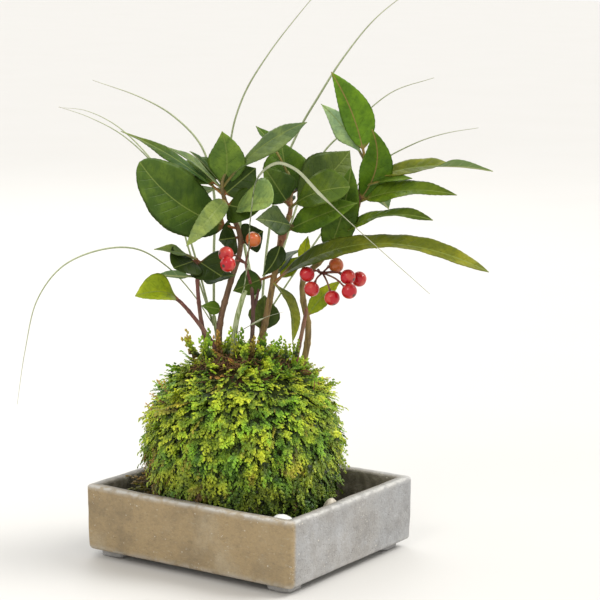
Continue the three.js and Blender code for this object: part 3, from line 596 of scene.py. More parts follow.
# A few reddish roots and one orange bud stand clear of the mat: places on the plan, with their height
# over the ball, then how thick they are and their colour.
STRAY_ROOTS = [([(20, -8, -1), (22.5, -9.5, 1.6), (25, -10, 2), (28, -9.5, 0.6)], 0.36, (0.4, 0.14, 0.07)),
               ([(22, -8, -1), (24.5, -10, 1.8), (25.5, -12.5, 1.2), (25, -15, -0.8)], 0.32, (0.34, 0.1, 0.05)),
               ([(21, -9, -1), (23.5, -11, 2.6), (26, -11.5, 2.4), (28, -12, 1)], 0.28, (0.46, 0.2, 0.09)),
               ([(-7.6, -13, -1), (-8.2, -14.4, 0.8), (-8.7, -15.8, 2)], 1.3, (0.62, 0.24, 0.06))]
for path, thick, tint in STRAY_ROOTS:
    path = [[x, y, ball_top(np.array([[x, y]], float), 0)[0] + rise] for x, y, rise in path]
    path = smooth_path(path, 0.7)
    roots.append((planted(path), thick * (1 - 0.7 * np.linspace(0, 1, len(path))), [tint] * len(path)))
mat = swept("root_mat", roots, polygon(5), fibre)
mount_piece(mat, "soil")

# ---------------------------------------------------------------------------------------------
# Binding thread: two turns of dark cotton, 0.8 mm with its fuzz, wound round the ball to hold the
# moss while it roots. The moss has grown over nearly all of it.
# ---------------------------------------------------------------------------------------------
THREAD_TURNS = [(90, 42), (-35, 40)]
THREAD_SUNK, THREAD_HALF, THREAD_LAY = 3.2, 0.38, 1.6
THREAD_STATIONS, THREAD_CORNERS = 420, 8

cotton, tree, shader = new_finish("dark cotton", Roughness=0.9, Sheen_Weight=0.2)
twist = colour_mix(tree, mottle(tree, 0.7, 2), (0.012, 0.016, 0.008), (0.05, 0.055, 0.03))
lay_on(tree, shader, twist, mottle(tree, 0.35, 2), 0.08)


def aim(bearing, rise):
    """A direction from its bearing and its rise over the level, in degrees."""
    bearing, rise = math.radians(bearing), math.radians(rise)
    return np.array([math.cos(rise) * math.cos(bearing), math.cos(rise) * math.sin(bearing), math.sin(rise)])


points, faces = [], []
for bearing, rise in THREAD_TURNS:
    axis, low = aim(bearing, rise), aim(bearing, rise - 90)
    turns = np.linspace(0, 2 * math.pi, THREAD_STATIONS + 1)[:-1]
    out = np.outer(np.cos(turns), low) + np.outer(np.sin(turns), np.cross(axis, low))
    line = ball_reach(out, 0) - THREAD_SUNK
    first = len(points)
    for k, turn in enumerate(turns):
        ply = line[k] * turn / THREAD_LAY
        for c in range(THREAD_CORNERS):
            about = 2 * math.pi * c / THREAD_CORNERS
            half = THREAD_HALF * (0.86 + 0.14 * abs(math.cos(about - ply)))
            along = line[k] + half * math.cos(about)
            points.append(BALL_MIDDLE + out[k] * along + axis * half * math.sin(about))
            a = first + k * THREAD_CORNERS + c
            b = first + k * THREAD_CORNERS + (c + 1) % THREAD_CORNERS
            ahead = ((k + 1) % THREAD_STATIONS - k) * THREAD_CORNERS
            faces.append((a, b, b + ahead, a + ahead))
thread = make_piece("moss_thread", planted(points), faces, [cotton])
mount_piece(thread, "thread", "binding_thread")

# ---------------------------------------------------------------------------------------------
# Moss: mats of living feather moss laid over the ball and tied on. Under the shoots is the brown felt of their
# old growth, painted near black so that it stands also for painted shade in the gaps. Over it the shoots stand
# out and droop, yellow-green at their tips, their bases painted dark as shade.
# ---------------------------------------------------------------------------------------------
ROOT_SPILL = ((-11, -16, 81.5), 6.0)
BROWNED = [((-34, -22, 22), 10), ((-40, -6, 34), 12), ROOT_SPILL, ((4, -38, 14), 8), ((22, -30, 30), 4),
           ((26, -11, 79), 4), ((30, 16, 24), 10), ((-20, -30, 36), 3)]


def closeness(points, middle, size):
    """1 at a place, and less within about this many millimetres of it."""
    return np.exp(-np.sum((points - np.array(middle)) ** 2, 1) / size**2)


def brown_share(points):
    """How much the moss has browned, which it has near a few places."""
    return np.max([closeness(points, *place) for place in BROWNED], axis=0)


felt, tree, shader = new_finish("moss felt", Roughness=0.95, Specular_IOR_Level=0.15)
# The felt's colour is near black: dark old growth, and painted shade in the gaps between the shoots.
felt_and_shade = remap(tree, mottle(tree, 2.2, 5, 0.65), 0.35, 0.7)
felt_and_shade = colour_mix(tree, felt_and_shade, (0.012, 0.02, 0.004), (0.06, 0.085, 0.014))
felt_and_shade = colour_mix(tree, maths(tree, "MULTIPLY", own_value(tree, "brown"), 0.7), felt_and_shade, (0.07, 0.035, 0.012))
lay_on(tree, shader, felt_and_shade, mottle(tree, 0.9, 5, 0.7), 0.7)

AROUND, INNER_DOWN, DOWN, FELT_INSET = 288, 40, 120, 2.7
turns = 2 * math.pi * np.arange(AROUND) / AROUND
lip = CROWN_MIDDLE + np.c_[CROWN_LONG * np.cos(turns), CROWN_SHORT * np.sin(turns)]
lip_out = lip - BALL_MIDDLE[:2]
lip_turn = np.arctan2(lip_out[:, 1], lip_out[:, 0])
lip_fall = np.arctan2(np.hypot(*lip_out.T), ball_top(lip, 0) - BALL_MIDDLE[2])


def felt_ring(share, inset):
    """One ring of the coat, from the lip of the crown at 0 to the ball's foot at 1."""
    fall = lip_fall + (math.pi - 1e-3 - lip_fall) * share
    d = np.c_[np.sin(fall) * np.cos(lip_turn), np.sin(fall) * np.sin(lip_turn), np.cos(fall)]
    return BALL_MIDDLE + d * ball_reach(d, inset)[:, None], d


# Up the inside on the soil, and down the outside, where the felt is tufted.
rings, normals = [], []
for inset, tufted, shares in ((MOSS_THICK + 0.2, 0, np.linspace(1, 0, INNER_DOWN)),
                              (FELT_INSET, 1, np.linspace(0, 1, DOWN))):
    for share in shares:
        ring, d = felt_ring(share, inset)
        rings.append(ring)
        normals.append(d * tufted)
points, normals = np.concatenate(rings), np.concatenate(normals)
tufts = 1.5 * lumps(points, 8) + 0.6 * lumps(points, 3, 3) - 0.2
points += normals * np.clip(tufts, -0.65, 1.1)[:, None]
points, faces = closed_skin(points, AROUND, points[:AROUND].mean(0), points[-AROUND:].mean(0))
coat = make_piece("moss_felt", planted(points), faces, [felt], values={"brown": brown_share(points)})
mount_piece(coat, "moss", "moss_coat")

moss, tree, shader = new_finish("living moss", Roughness=0.5, Specular_IOR_Level=0.4)
tone, tip = own_value(tree, "tone"), own_value(tree, "tip")
place = add(tree, "ShaderNodeTexCoord").outputs["Object"]
along_z = add(tree, "ShaderNodeSeparateXYZ", {0: place}).outputs["Z"]
zone = remap(tree, mottle(tree, 11, 3), 0.36, 0.62)
green = colour_mix(tree, zone, (0.09, 0.2, 0.016), (0.21, 0.28, 0.016))
bright = colour_mix(tree, zone, (0.18, 0.35, 0.024), (0.4, 0.46, 0.03))
# Shoots go from near black at their base to green towards their tip: their darker old stalks, and painted shade
# down among the shoots.
shoot = colour_mix(tree, remap(tree, tip, 0.05, 0.6), (0.014, 0.026, 0.005), green)
# Clumps from 6 mm noise: between them the shoots are painted darker and bluer as shade, and where tone, clump
# and tip are high they are painted brighter as light on the tips, over the moss's own yellow-green new growth.
clumps = remap(tree, mottle(tree, 6, 2), 0.38, 0.62, 0.12, 1.0)
lit = maths(tree, "MULTIPLY", remap(tree, tone, 0.1, 0.7), clumps)
lit = maths(tree, "MULTIPLY", remap(tree, tip, 0.2, 0.85), lit)
shoot = colour_mix(tree, clumps, colour_mix(tree, 1.0, shoot, (0.45, 0.55, 0.6), "MULTIPLY"), shoot)
shoot = colour_mix(tree, lit, shoot, bright)
old_shoot = colour_mix(tree, tip, (0.06, 0.028, 0.01), (0.36, 0.2, 0.05))
withered = maths(tree, "ADD", maths(tree, "MULTIPLY", own_value(tree, "brown"), 0.6), own_value(tree, "age"))
shoot = colour_mix(tree, remap(tree, withered, 0.9, 1.1), shoot, old_shoot)
# Painted light and shade: the moss is painted darker low down inside the dish and lighter higher up the ball,
# as the light falls on it.
height = colour_mix(tree, remap(tree, along_z, 0.02, 0.058), (0.46, 0.52, 0.42), (1.65, 1.56, 1.15))
shoot = colour_mix(tree, 1.0, shoot, height, "MULTIPLY")
lay_on(tree, shader, shoot, mottle(tree, 0.4, 2), 0.06)

LOBE, LOBE_WIDE = [(0.0, 0.0), (0.5, 0.5), (1.0, 0.0), (0.5, -0.5)], 0.85


def lobe(points, faces, tips, base, out, face, wide, share):
    """One moss leaf, thin, closed and pointed, and domed on its face."""
    side = np.cross(out, face)
    side *= wide / max(np.linalg.norm(side), 1e-9)
    first, rim = len(points), len(LOBE)
    points.extend([base + out * along + side * across for along, across in LOBE])
    points.append(base + out * 0.45 + face * wide * 0.3)
    faces.extend([(first + k, first + (k + 1) % rim, first + rim) for k in range(rim)])
    faces.append(tuple(first + k for k in reversed(range(rim))))
    tips.extend([share * 0.6, share, min(1.0, share + 0.35), share, share])


def moss_shoot(seed, length, pairs, lobe_long, spread, forks=()):
    """A flat shoot in millimetres that points along Z with its face along Y, and its forks.

    spread is the range of angles of its leaves, and each fork is where it starts along the shoot, its
    angle and its share of the length.
    """
    draw = random.Random(seed)
    points, faces, tips = [], [], []
    branches = [(np.zeros(3), 0.0, length, pairs, 0.0)]
    for at, angle, share in forks:
        branches.append((np.array([0, 0.2 * at * at * length, at * length]), angle, length * share,
                         max(2, round(pairs * share)), at * 0.6))
    for root, angle, long, count, from_share in branches:
        turn = math.radians(angle)
        heading = np.array([math.sin(turn), 0, math.cos(turn)])
        side = np.array([math.cos(turn), 0, -math.sin(turn)])
        sway = draw.uniform(-0.12, 0.12)

        def spine(t):
            """A point of the shoot's stalk, a share t of the way along."""
            return root + heading * long * t + np.array([0, 0.2 * long * t * t, 0]) + side * sway * long * t * t

        first = len(points)
        for t in (0, 0.5):
            half = 0.3 * (1 - 0.6 * t)
            points.extend([spine(t) + side * half, spine(t) - side * half, spine(t) - np.array([0, half, 0])])
            tips.extend([from_share + (1 - from_share) * t * 0.7] * 3)
        points.append(spine(1))
        tips.append(1.0)
        for k in range(3):
            a, b = first + k, first + (k + 1) % 3
            faces.extend([(a, b, b + 3, a + 3), (a + 3, b + 3, first + 6)])
        faces.append((first + 2, first + 1, first))
        for k in range(count):
            for way in (-1, 1):
                t = (k + 0.45 + 0.25 * way) / count
                lean = math.radians(draw.uniform(*spread)) * (1 - 0.35 * t)
                out = heading * math.cos(lean) + side * way * math.sin(lean)
                out[1] += draw.uniform(-0.3, 0.35)
                size = lobe_long * (1 - 0.45 * t) * draw.uniform(0.75, 1.25)
                share = from_share + (1 - from_share) * t
                face = np.array([0, 1.0, 0.15])
                lobe(points, faces, tips, spine(t), out * size, face, size * LOBE_WIDE, share)
        out, face = (heading + [0, 0.3, 0]) * lobe_long * 0.7, np.array([0, 1.0, 0.1])
        lobe(points, faces, tips, spine(0.88), out, face, lobe_long * 0.36, 0.9)
    return np.array(points), faces, np.clip(tips, 0, 1)


shoots = bpy.data.collections.new("moss shoots")
bpy.context.scene.collection.children.link(shoots)
SHOOTS = [  # seed, length, pairs of leaves, their length, their spread and the forks
    (1, 6.6, 6, 1.6, (26, 48)), (2, 5.8, 5, 1.55, (26, 48), [(0.35, 38, 0.55)]), (3, 4.6, 4, 1.6, (30, 54)),
    (4, 7.0, 6, 1.5, (26, 46), [(0.45, -36, 0.45)]), (5, 3.6, 3, 1.75, (32, 58))]
for row in SHOOTS:
    shoot_points, shoot_faces, tips = moss_shoot(*row)
    mesh = bpy.data.meshes.new("shoot")
    mesh.from_pydata([tuple(p / 1000) for p in shoot_points], [], shoot_faces)
    give_values(mesh, "tip", tips)
    shoots.objects.link(bpy.data.objects.new("shoot_%d" % row[0], mesh))

growth, given = new_tree("moss shoots on a mat", [
    ("Mat", "Geometry"), ("Shoots", "Collection"), ("Density", "Float"), ("Seed", "Int"),
    ("Middle", "Vector"), ("Stand", "Float"), ("Droop", "Float"), ("Stray", "Float"), ("Clump", "Float"),
    ("Smallest", "Float"), ("Largest", "Float"), ("Finish", "Material")])


def any_value(kind, low, high, seed):
    """A random value for each point, with a seed of its own beside the tree's."""
    seeds = maths(growth, "ADD", given["Seed"], float(seed))
    at = {"FLOAT_VECTOR": 0, "FLOAT": 2, "INT": 4}[kind]
    made = add(growth, "FunctionNodeRandomValue", {at: low, at + 1: high, "Seed": seeds}, data_type=kind)
    return made.outputs[at // 2]


def any_arrow(seed):
    """A random arrow for each point."""
    return any_value("FLOAT_VECTOR", (-1, -1, -1), (1, 1, 1), seed)


def arrow(operation, first, second):
    """A sum of two arrows, or of an arrow and a number."""
    key = "Scale" if operation == "SCALE" else 1
    return add(growth, "ShaderNodeVectorMath", {0: first, key: second}, operation=operation).outputs[0]


density = maths(growth, "MULTIPLY", given["Density"], attribute(growth, "cover"))
spots = add(growth, "GeometryNodeDistributePointsOnFaces", {
    "Mesh": given["Mat"], "Density": density, "Seed": given["Seed"]}).outputs["Points"]
for label, seed in (("tone", 4), ("age", 1)):
    spots = add(growth, "GeometryNodeStoreNamedAttribute", {
        "Geometry": spots, "Name": label, "Value": any_value("FLOAT", 0.0, 1.0, seed)},
        data_type="FLOAT", domain="POINT").outputs[0]
spot = add(growth, "GeometryNodeInputPosition").outputs[0]
normal = arrow("NORMALIZE", arrow("SUBTRACT", spot, given["Middle"]), (0, 0, 0))
down = add(growth, "ShaderNodeCombineXYZ", {"Z": maths(growth, "MULTIPLY", given["Droop"], -1.0)}).outputs[0]
stray = arrow("SCALE", any_arrow(2), given["Stray"])
clump = add(growth, "ShaderNodeTexNoise", {
    "Vector": spot, "Scale": 150.0, "Detail": 3.0, "Roughness": 0.7}).outputs["Color"]
clump = arrow("SCALE", arrow("SUBTRACT", clump, (0.5, 0.5, 0.5)), given["Clump"])
lie = arrow("ADD", down, arrow("ADD", stray, clump))
lie = arrow("SUBTRACT", lie, arrow("PROJECT", lie, normal))
stand = maths(growth, "MULTIPLY", any_value("FLOAT", 0.4, 1.8, 6), given["Stand"])
heading = arrow("ADD", arrow("SCALE", normal, stand), lie)
turn = add(growth, "FunctionNodeAlignRotationToVector", {"Vector": heading}, axis="Z").outputs[0]
facing = arrow("ADD", normal, arrow("SCALE", any_arrow(3), 0.45))
turn = add(growth, "FunctionNodeAlignRotationToVector", {
    "Rotation": turn, "Vector": facing}, axis="Y", pivot_axis="Z").outputs[0]
long = maths(growth, "POWER", any_value("FLOAT", 0.0, 1.0, 4), 2.5)
long = add(growth, "ShaderNodeMapRange", {0: long, 3: given["Smallest"], 4: given["Largest"]}).outputs[0]
long = maths(growth, "MULTIPLY", long, attribute(growth, "room"))
kinds = add(growth, "GeometryNodeCollectionInfo", {
    "Collection": given["Shoots"], "Separate Children": True, "Reset Children": True}).outputs[0]
planted_shoots = add(growth, "GeometryNodeInstanceOnPoints", {
    "Points": spots, "Instance": kinds, "Pick Instance": True, "Instance Index": any_value("INT", 0, 4, 5),
    "Rotation": turn, "Scale": long}).outputs[0]
close_tree(growth, planted_shoots, given["Finish"])

LONGEST_SHOOT = 11.0


def room_for_moss(points):
    """How large the shoots may be: they are short against the tray's walls and floor."""
    at = np.abs(planted(points))
    wall = np.minimum(TRAY_LONG / 2 - TRAY_WALL - at[:, 0], TRAY_SHORT / 2 - TRAY_WALL - at[:, 1])
    by_wall = np.clip((wall + 1.5) / 5, 0.35, 1)
    by_floor = np.clip((points[:, 2] - TRAY_FLOOR + 1) / LONGEST_SHOOT, 0.2, 1)
    return np.where(points[:, 2] > TRAY_TOP + 1, 1.0, np.minimum(by_wall, by_floor))


PATCHES, MOSS_DENSITY, MOSS_FROM = 10, 0.4e6, 8.5


def moss_growth(name, points, faces, cover, room, brown, seed, density, *habit):
    """A piece of moss grown on a mat: habit is its stand, droop, stray, clump and shoot sizes."""
    base = make_piece("mat", planted(points), faces, [], values={"cover": cover, "room": room, "brown": brown})
    return grow(base, growth, {
        "Shoots": shoots, "Density": density, "Seed": seed, "Middle": tuple(planted(BALL_MIDDLE) / 1000),
        "Finish": moss, **dict(zip(("Stand", "Droop", "Stray", "Clump", "Smallest", "Largest"), habit))}, name)


outer = points[INNER_DOWN * AROUND:-2].reshape(DOWN, AROUND, 3)
for patch in range(PATCHES):
    columns = np.arange(patch * AROUND // PATCHES, (patch + 1) * AROUND // PATCHES + 1) % AROUND
    part = outer[::3][:, columns]
    rows, across = part.shape[:2]
    flat = part.reshape(-1, 3)
    quads = [(r * across + k, r * across + k + 1, (r + 1) * across + k + 1, (r + 1) * across + k)
             for r in range(rows - 1) for k in range(across - 1)]
    cover = np.clip((flat[:, 2] - MOSS_FROM) / 2, 0, 1) * (1 - closeness(flat, *ROOT_SPILL))
    grown = moss_growth("moss_patch_%d" % (patch + 1), flat, quads, cover, room_for_moss(flat),
                        brown_share(flat), 11 + patch, MOSS_DENSITY, 0.2, 1.0, 0.55, 1.9, 0.6, 1.6)
    mount_piece(grown, "moss", "moss_coat")

# The crown carries a thinner growth of the same moss, standing up between the stems.
steps = np.linspace(0.12, 1.0, 12)
crown_points = np.concatenate([CROWN_MIDDLE + s * (lip - CROWN_MIDDLE) for s in steps])
front_bare = closeness(crown_points, (-10, -14), 5.5)
crown_points = np.c_[crown_points, ball_top(crown_points, MOSS_THICK - 0.6)]
everywhere = np.ones(len(crown_points))
grown = moss_growth("moss_crown", crown_points, ring_faces(len(steps), AROUND), 1 - 0.9 * front_bare,
                    everywhere, 0.25 * everywhere, 77, 0.95 * MOSS_DENSITY, 0.6, 0.3, 0.6, 2.0, 0.4, 1.4)
mount_piece(grown, "moss")

# A few long shoots stand clear of the rest, at the crown, at the sides and over the tray's floor.
SPRIGS = [  # root, tip, size, tone, age
    ((-23, -3, 81), (-25.1, -4, 93.7), 1.6, 0.75, 0.95), ((-21, -4, 82), (-27, -6, 90), 1.2, 0.9, 0.4),
    ((-17.2, -10, 82), (-15.7, -12, 95.6), 1.5, 0.5, 0.1), ((-18, -9, 82), (-20, -12, 92), 1.2, 0.9, 0.1),
    ((28.7, -7.8, 70.3), (35.6, -6, 71.3), 1.0, 0.8, 0.1), ((-31.5, -14, 68), (-36.5, -5, 71.5), 1.0, 0.5, 1.0),
    ((-33, -14, 65), (-39, -6, 66.8), 1.0, 0.6, 1.0), ((-36, -14, 58), (-41, -6, 62.4), 0.9, 0.2, 1.0),
    ((-38, -1, 29), (-50, 3, 30.5), 1.2, 0.5, 1.0), ((-37, -2, 27), (-49, 1, 26), 1.2, 0.6, 0.95),
    ((-37, -3, 26), (-45, -1, 24), 1.1, 0.4, 1.0), ((-38, -4, 34), (-44.5, -3, 31), 1.1, 0.7, 1.0),
    ((20.4, -16, 75), (29, -17, 75.5), 1.4, 1.0, 0.3),
    ((-16.7, -28, 71), (-12, -34, 66), 1.5, 1.0, 0.2), ((5.6, -38, 48), (5, -41.5, 38), 1.6, 1.0, 0.1),
    ((24, -31, 44), (22, -36, 34), 1.4, 1.0, 0.2), ((34, -18, 52), (38.5, -20, 49), 1.1, 0.9, 0.1),
    ((-9.9, -6, 82), (-7.4, -7, 95), 1.5, 0.5, 0.2), ((-4.2, -8, 82), (-3, -9, 94.7), 1.5, 0.7, 0.1),
    ((-5.8, -9, 82), (-8, -10.5, 91), 1.4, 0.2, 0.9), ((4.6, -8, 83), (6.2, -8.6, 93), 1.5, 0.4, 0.3),
    ((-0.2, -9, 82), (1.4, -10, 92), 1.4, 0.6, 0.95), ((9.8, -8, 82.5), (12.6, -8, 91), 1.4, 0.8, 0.1),
    ((14, -9, 82), (13, -10.5, 90.5), 1.4, 0.9, 0.1), ((-3, -11, 82), (-1, -13.5, 90), 1.5, 0.9, 0.1),
    ((3.5, -11, 82), (2.5, -13.5, 89.5), 1.4, 0.5, 0.2), ((-12.5, -4, 82), (-12.5, -6.5, 94), 1.3, 0.3, 1.0),
    ((7, -10.5, 82.5), (9.5, -13, 90), 1.4, 0.7, 0.1), ((18, -8, 82.5), (19.5, -9.5, 90.5), 1.3, 0.9, 0.1)]
SPRIG_LONG = 6.5
sprig_skins, tips, tones, ages = [], [], [], []
for k, (root, tip_at, size, tone, age) in enumerate(SPRIGS):
    forks = [(0.35, 40 * (-1) ** k, 0.5)]
    made, made_faces, made_tips = moss_shoot(20 + k, SPRIG_LONG, 5, 1.7, (38, 62), forks)
    run = np.subtract(tip_at, root).astype(float)
    along = run / np.linalg.norm(run)
    outward = np.array([along[0] * 0.2, -1.0, 0.3])
    outward -= along * (outward @ along)
    outward /= np.linalg.norm(outward)
    scale = np.linalg.norm(run) / SPRIG_LONG
    local = made * [min(size, scale * 1.2) * 0.8, scale, scale]
    placed = np.array(root) + local @ np.array([np.cross(outward, along), outward, along])
    sprig_skins.append((placed, made_faces))
    tips.extend(made_tips)
    tones.extend([tone] * len(made))
    ages.extend([age] * len(made))
points, faces = join(sprig_skins)
sprigs = make_piece("moss_sprigs", planted(points), faces, [moss], smooth=False, values={
    "tip": tips, "tone": tones, "age": ages, "brown": [0.1] * len(tips)})
mount_piece(sprigs, "moss")
for made in list(shoots.objects):
    bpy.data.objects.remove(made)
bpy.data.collections.remove(shoots)

# ---------------------------------------------------------------------------------------------
# Stems: seven woody shoots of the shrublet, 2 to 4 mm thick, that stand in the soil. Their bark is
# brown to red-brown, ridged lengthwise, and swollen where leaves have dropped.
# ---------------------------------------------------------------------------------------------
STEMS = {  # its route from inside the soil, its half thickness low and high, its colour low and high
    "stem_left": ([(-9, 0, 72), (-12.5, 0, 84), (-12.3, 0, 95), (-8.3, 0, 111), (-4.2, 0, 125),
                   (-4.6, 0, 132), (-7, -0.3, 138)], 1.45, 1.0, (0.19, 0.1, 0.06), (0.2, 0.11, 0.05)),
    "stem_centre": ([(2, 0, 72), (3.8, 0, 86), (5.8, 0, 95), (8.2, 0, 107), (11, 0, 123), (12.6, 0, 130),
                     (15.6, 0, 139)], 1.5, 1.05, (0.27, 0.17, 0.06), (0.26, 0.16, 0.05)),
    "stem_right": ([(20, 3, 72), (23, 3, 86), (23.2, 2, 94), (21.1, 2, 105), (21.5, 2, 113), (28, 2, 120),
                    (37.9, 1, 132), (43, 0, 143)], 1.4, 1.0, (0.3, 0.21, 0.07), (0.24, 0.19, 0.05)),
    "stem_lime": ([(-11, -4, 72), (-13.5, -4, 84), (-21.1, -4, 96), (-28.5, -4, 104.7), (-31, -5, 106.5)],
                  1.0, 0.72, (0.13, 0.06, 0.05), (0.22, 0.075, 0.055)),
    "stem_pair": ([(-15.5, 3, 72), (-18, 3, 86), (-20, 2, 96), (-21.1, 0, 107), (-21.6, -2, 122)],
                  0.95, 0.75, (0.12, 0.055, 0.045), (0.24, 0.085, 0.065)),
    "stem_fork": ([(0, -5, 72), (0.4, -6, 86), (0.8, -6.5, 94), (1, -7, 103), (0.4, -7.5, 111)],
                  1.05, 0.75, (0.1, 0.07, 0.045), (0.1, 0.035, 0.03)),
    "stem_short": ([(17, -4, 72), (19, -4, 84), (20.5, -3.5, 91), (22.6, -3, 102)],
                   0.95, 0.75, (0.19, 0.07, 0.05), (0.24, 0.1, 0.06)),
}
FORK_TWIG = [(1, -7, 102), (2.4, -6.5, 106), (3.2, -6, 110)]
PATH_STEP, SCAR_EVERY, SCAR_SWELL, KNOT_HEIGHT = 0.45, 9.0, 0.16, 130.5
CARRY_CROWNS = ("stem_left", "stem_centre", "stem_right")

bark, tree, shader = new_finish("young bark", Roughness=0.62, Specular_IOR_Level=0.4)
wood = own_value(tree, "tint", "Color")
wood = stained(tree, wood, (0.035, 0.02, 0.014), 0.4, 0.7, 0.65, 1.6, 5, 0.6, (1, 1, 0.25))
wood = stained(tree, wood, (0.3, 0.21, 0.13), 0.5, 0.75, 0.5, 5, 3, 0.5, (1, 1, 0.4))
wood = flecked(tree, wood, (0.4, 0.28, 0.17), 1.5, 0.08, 0.16, 0.6)
lay_on(tree, shader, wood, mottle(tree, 0.7, 4, 0.6, (1, 1, 0.2)), 0.22)


def strand(route, step, root, tip_size, low_tint, high_tint):
    """What swept needs for one path that tapers evenly and goes evenly from one colour to another."""
    path = smooth_path(route, step)
    share = np.linspace(0, 1, len(path))[:, None]
    tints = np.array(low_tint) * (1 - share) + np.array(high_tint) * share
    return planted(path), np.linspace(root, tip_size, len(path)), tints


for name, row in STEMS.items():
    path, girth, tints = strand(row[0], PATH_STEP, *row[1:])
    run = np.linspace(0, 1, len(path)) * len(path) * PATH_STEP
    girth *= 1 + SCAR_SWELL * np.exp(-((run % SCAR_EVERY) - 0.6 * SCAR_EVERY) ** 2 / 0.7)
    if name not in CARRY_CROWNS:
        girth[-3:] *= (0.92, 0.7, 0.35)
    if name == "stem_centre":
        knot = np.exp(-((path[:, 2] - KNOT_HEIGHT) / 3.4) ** 2)
        girth *= 1 + 0.45 * knot
        tints += knot[:, None] * (np.array((0.3, 0.1, 0.05)) - tints)
    paths = [(path, girth, tints)]
    if name == "stem_fork":
        paths.append(strand(FORK_TWIG, PATH_STEP, 0.8, 0.45, row[-1], row[-1]))
    wood_piece = swept(name.replace("stem", "shoot") + "_wood", paths, polygon(14), bark, 0.14, 1.4)
    mount_piece(wood_piece, "bark", name)

# ---------------------------------------------------------------------------------------------
# Leaves: leathery evergreen blades, 15 to 75 mm long and a third of a millimetre thick, with a
# sawn edge, dark and waxy above and pale below. Each springs from its stem on a short stalk.
# ---------------------------------------------------------------------------------------------
LEAF_THICK, STALK_HALF, STALK_DEEP = 0.34, 0.55, 1.0
TOOTH_EVERY, TOOTH_DEEP, VEIN_EVERY = 2.1, 0.22, 4.2
STATION_EVERY, ACROSS = 0.52, 14
# Some tones carry painted light: deep, dark, inner and shade are painted darker for leaves in the shade of the
# crown, and sheen and cool are painted paler and bluer as a painted reflection on the waxy blade.
TONES = {  # blade near its stalk, blade near its tip, stalk, how late the second colour comes
    "deep": ((0.034, 0.07, 0.009), (0.074, 0.13, 0.019), (0.22, 0.09, 0.04), 1.2),
    "dark": ((0.02, 0.038, 0.005), (0.028, 0.05, 0.006), (0.16, 0.06, 0.03), 1.3),
    "inner": ((0.026, 0.05, 0.005), (0.04, 0.075, 0.006), (0.22, 0.08, 0.04), 1.3),
    "mid": ((0.062, 0.122, 0.01), (0.085, 0.16, 0.014), (0.2, 0.17, 0.04), 1.3),
    "even": ((0.12, 0.2, 0.012), (0.065, 0.1, 0.007), (0.2, 0.17, 0.04), 1.0),
    "shade": ((0.07, 0.118, 0.012), (0.085, 0.14, 0.014), (0.2, 0.17, 0.04), 1.3),
    "fresh": ((0.064, 0.14, 0.009), (0.085, 0.18, 0.011), (0.4, 0.2, 0.09), 1.3),
    "light": ((0.095, 0.205, 0.013), (0.12, 0.245, 0.016), (0.3, 0.2, 0.06), 1.3),
    "bright": ((0.095, 0.175, 0.026), (0.14, 0.235, 0.038), (0.26, 0.12, 0.05), 1.3),
    "olive": ((0.1, 0.125, 0.012), (0.17, 0.21, 0.012), (0.25, 0.2, 0.05), 1.3),
    "olive_tip": ((0.028, 0.052, 0.008), (0.16, 0.18, 0.008), (0.3, 0.13, 0.05), 0.9),
    "lime": ((0.27, 0.36, 0.012), (0.34, 0.42, 0.014), (0.34, 0.14, 0.06), 1.3),
    "lime_tip": ((0.04, 0.09, 0.02), (0.16, 0.2, 0.008), (0.24, 0.12, 0.04), 3.0),
    "pale": ((0.13, 0.19, 0.05), (0.2, 0.27, 0.08), (0.25, 0.22, 0.08), 1.3),
    "paler": ((0.15, 0.235, 0.062), (0.22, 0.33, 0.095), (0.25, 0.22, 0.08), 1.3),
    "grey": ((0.055, 0.09, 0.03), (0.08, 0.12, 0.045), (0.18, 0.12, 0.05), 1.3),
    "dull": ((0.06, 0.095, 0.018), (0.076, 0.118, 0.022), (0.16, 0.12, 0.04), 1.3),
    "sheen": ((0.1, 0.155, 0.045), (0.125, 0.19, 0.065), (0.2, 0.17, 0.05), 1.3),
    "cool": ((0.24, 0.37, 0.16), (0.34, 0.5, 0.24), (0.2, 0.17, 0.06), 1.3),
}


def side_veins(tree, wide, fade_from, fade_to):
    """1 on a side vein, and 0 off it and where the veins fade towards the leaf's margin."""
    line = remap(tree, maths(tree, "PINGPONG", own_value(tree, "vein"), 0.5), 0.0, wide, 1.0, 0.0)
    return maths(tree, "MULTIPLY", line, remap(tree, own_value(tree, "margin"), fade_from, fade_to, 1.0, 0.0))


leaf_top, tree, shader = new_finish("leaf, upper side", Roughness=0.38, Specular_IOR_Level=0.11)
tint = own_value(tree, "tint", "Color")
# Each tint is mixed with a darker, bluer copy and a lighter copy by 9 mm noise: the leaf's own uneven colour,
# and patches of painted shade and painted light.
dark, light = (colour_mix(tree, 1.0, tint, shade, "MULTIPLY") for shade in ((0.8, 0.82, 0.9), (1.45, 1.3, 1.1)))
blade = colour_mix(tree, remap(tree, mottle(tree, 9, 3), 0.38, 0.66), dark, light)
blade = stained(tree, blade, (0.012, 0.03, 0.008), 0.4, 0.75, 0.25, 1.0, 3)
side_line = side_veins(tree, 0.07, 0.3, 0.98)
pale_line = colour_mix(tree, 0.3, blade, (0.2, 0.28, 0.06))
blade = colour_mix(tree, maths(tree, "MULTIPLY", side_line, 0.14), blade, pale_line)
rib_tint = colour_mix(tree, own_value(tree, "flush"), (0.2, 0.25, 0.06), (0.34, 0.17, 0.08))
blade = colour_mix(tree, remap(tree, own_value(tree, "off_rib"), 0.05, 0.34, 0.7, 0.0), blade, rib_tint)
worn_margin = remap(tree, own_value(tree, "margin"), 0.97, 1.0, 0.0, 0.3)
blade = colour_mix(tree, worn_margin, blade, (0.16, 0.17, 0.04))
fine_net = remap(tree, cells(tree, 0.9), 0.0, 0.5)
height = maths(tree, "SUBTRACT", maths(tree, "MULTIPLY", fine_net, 0.3), side_line)
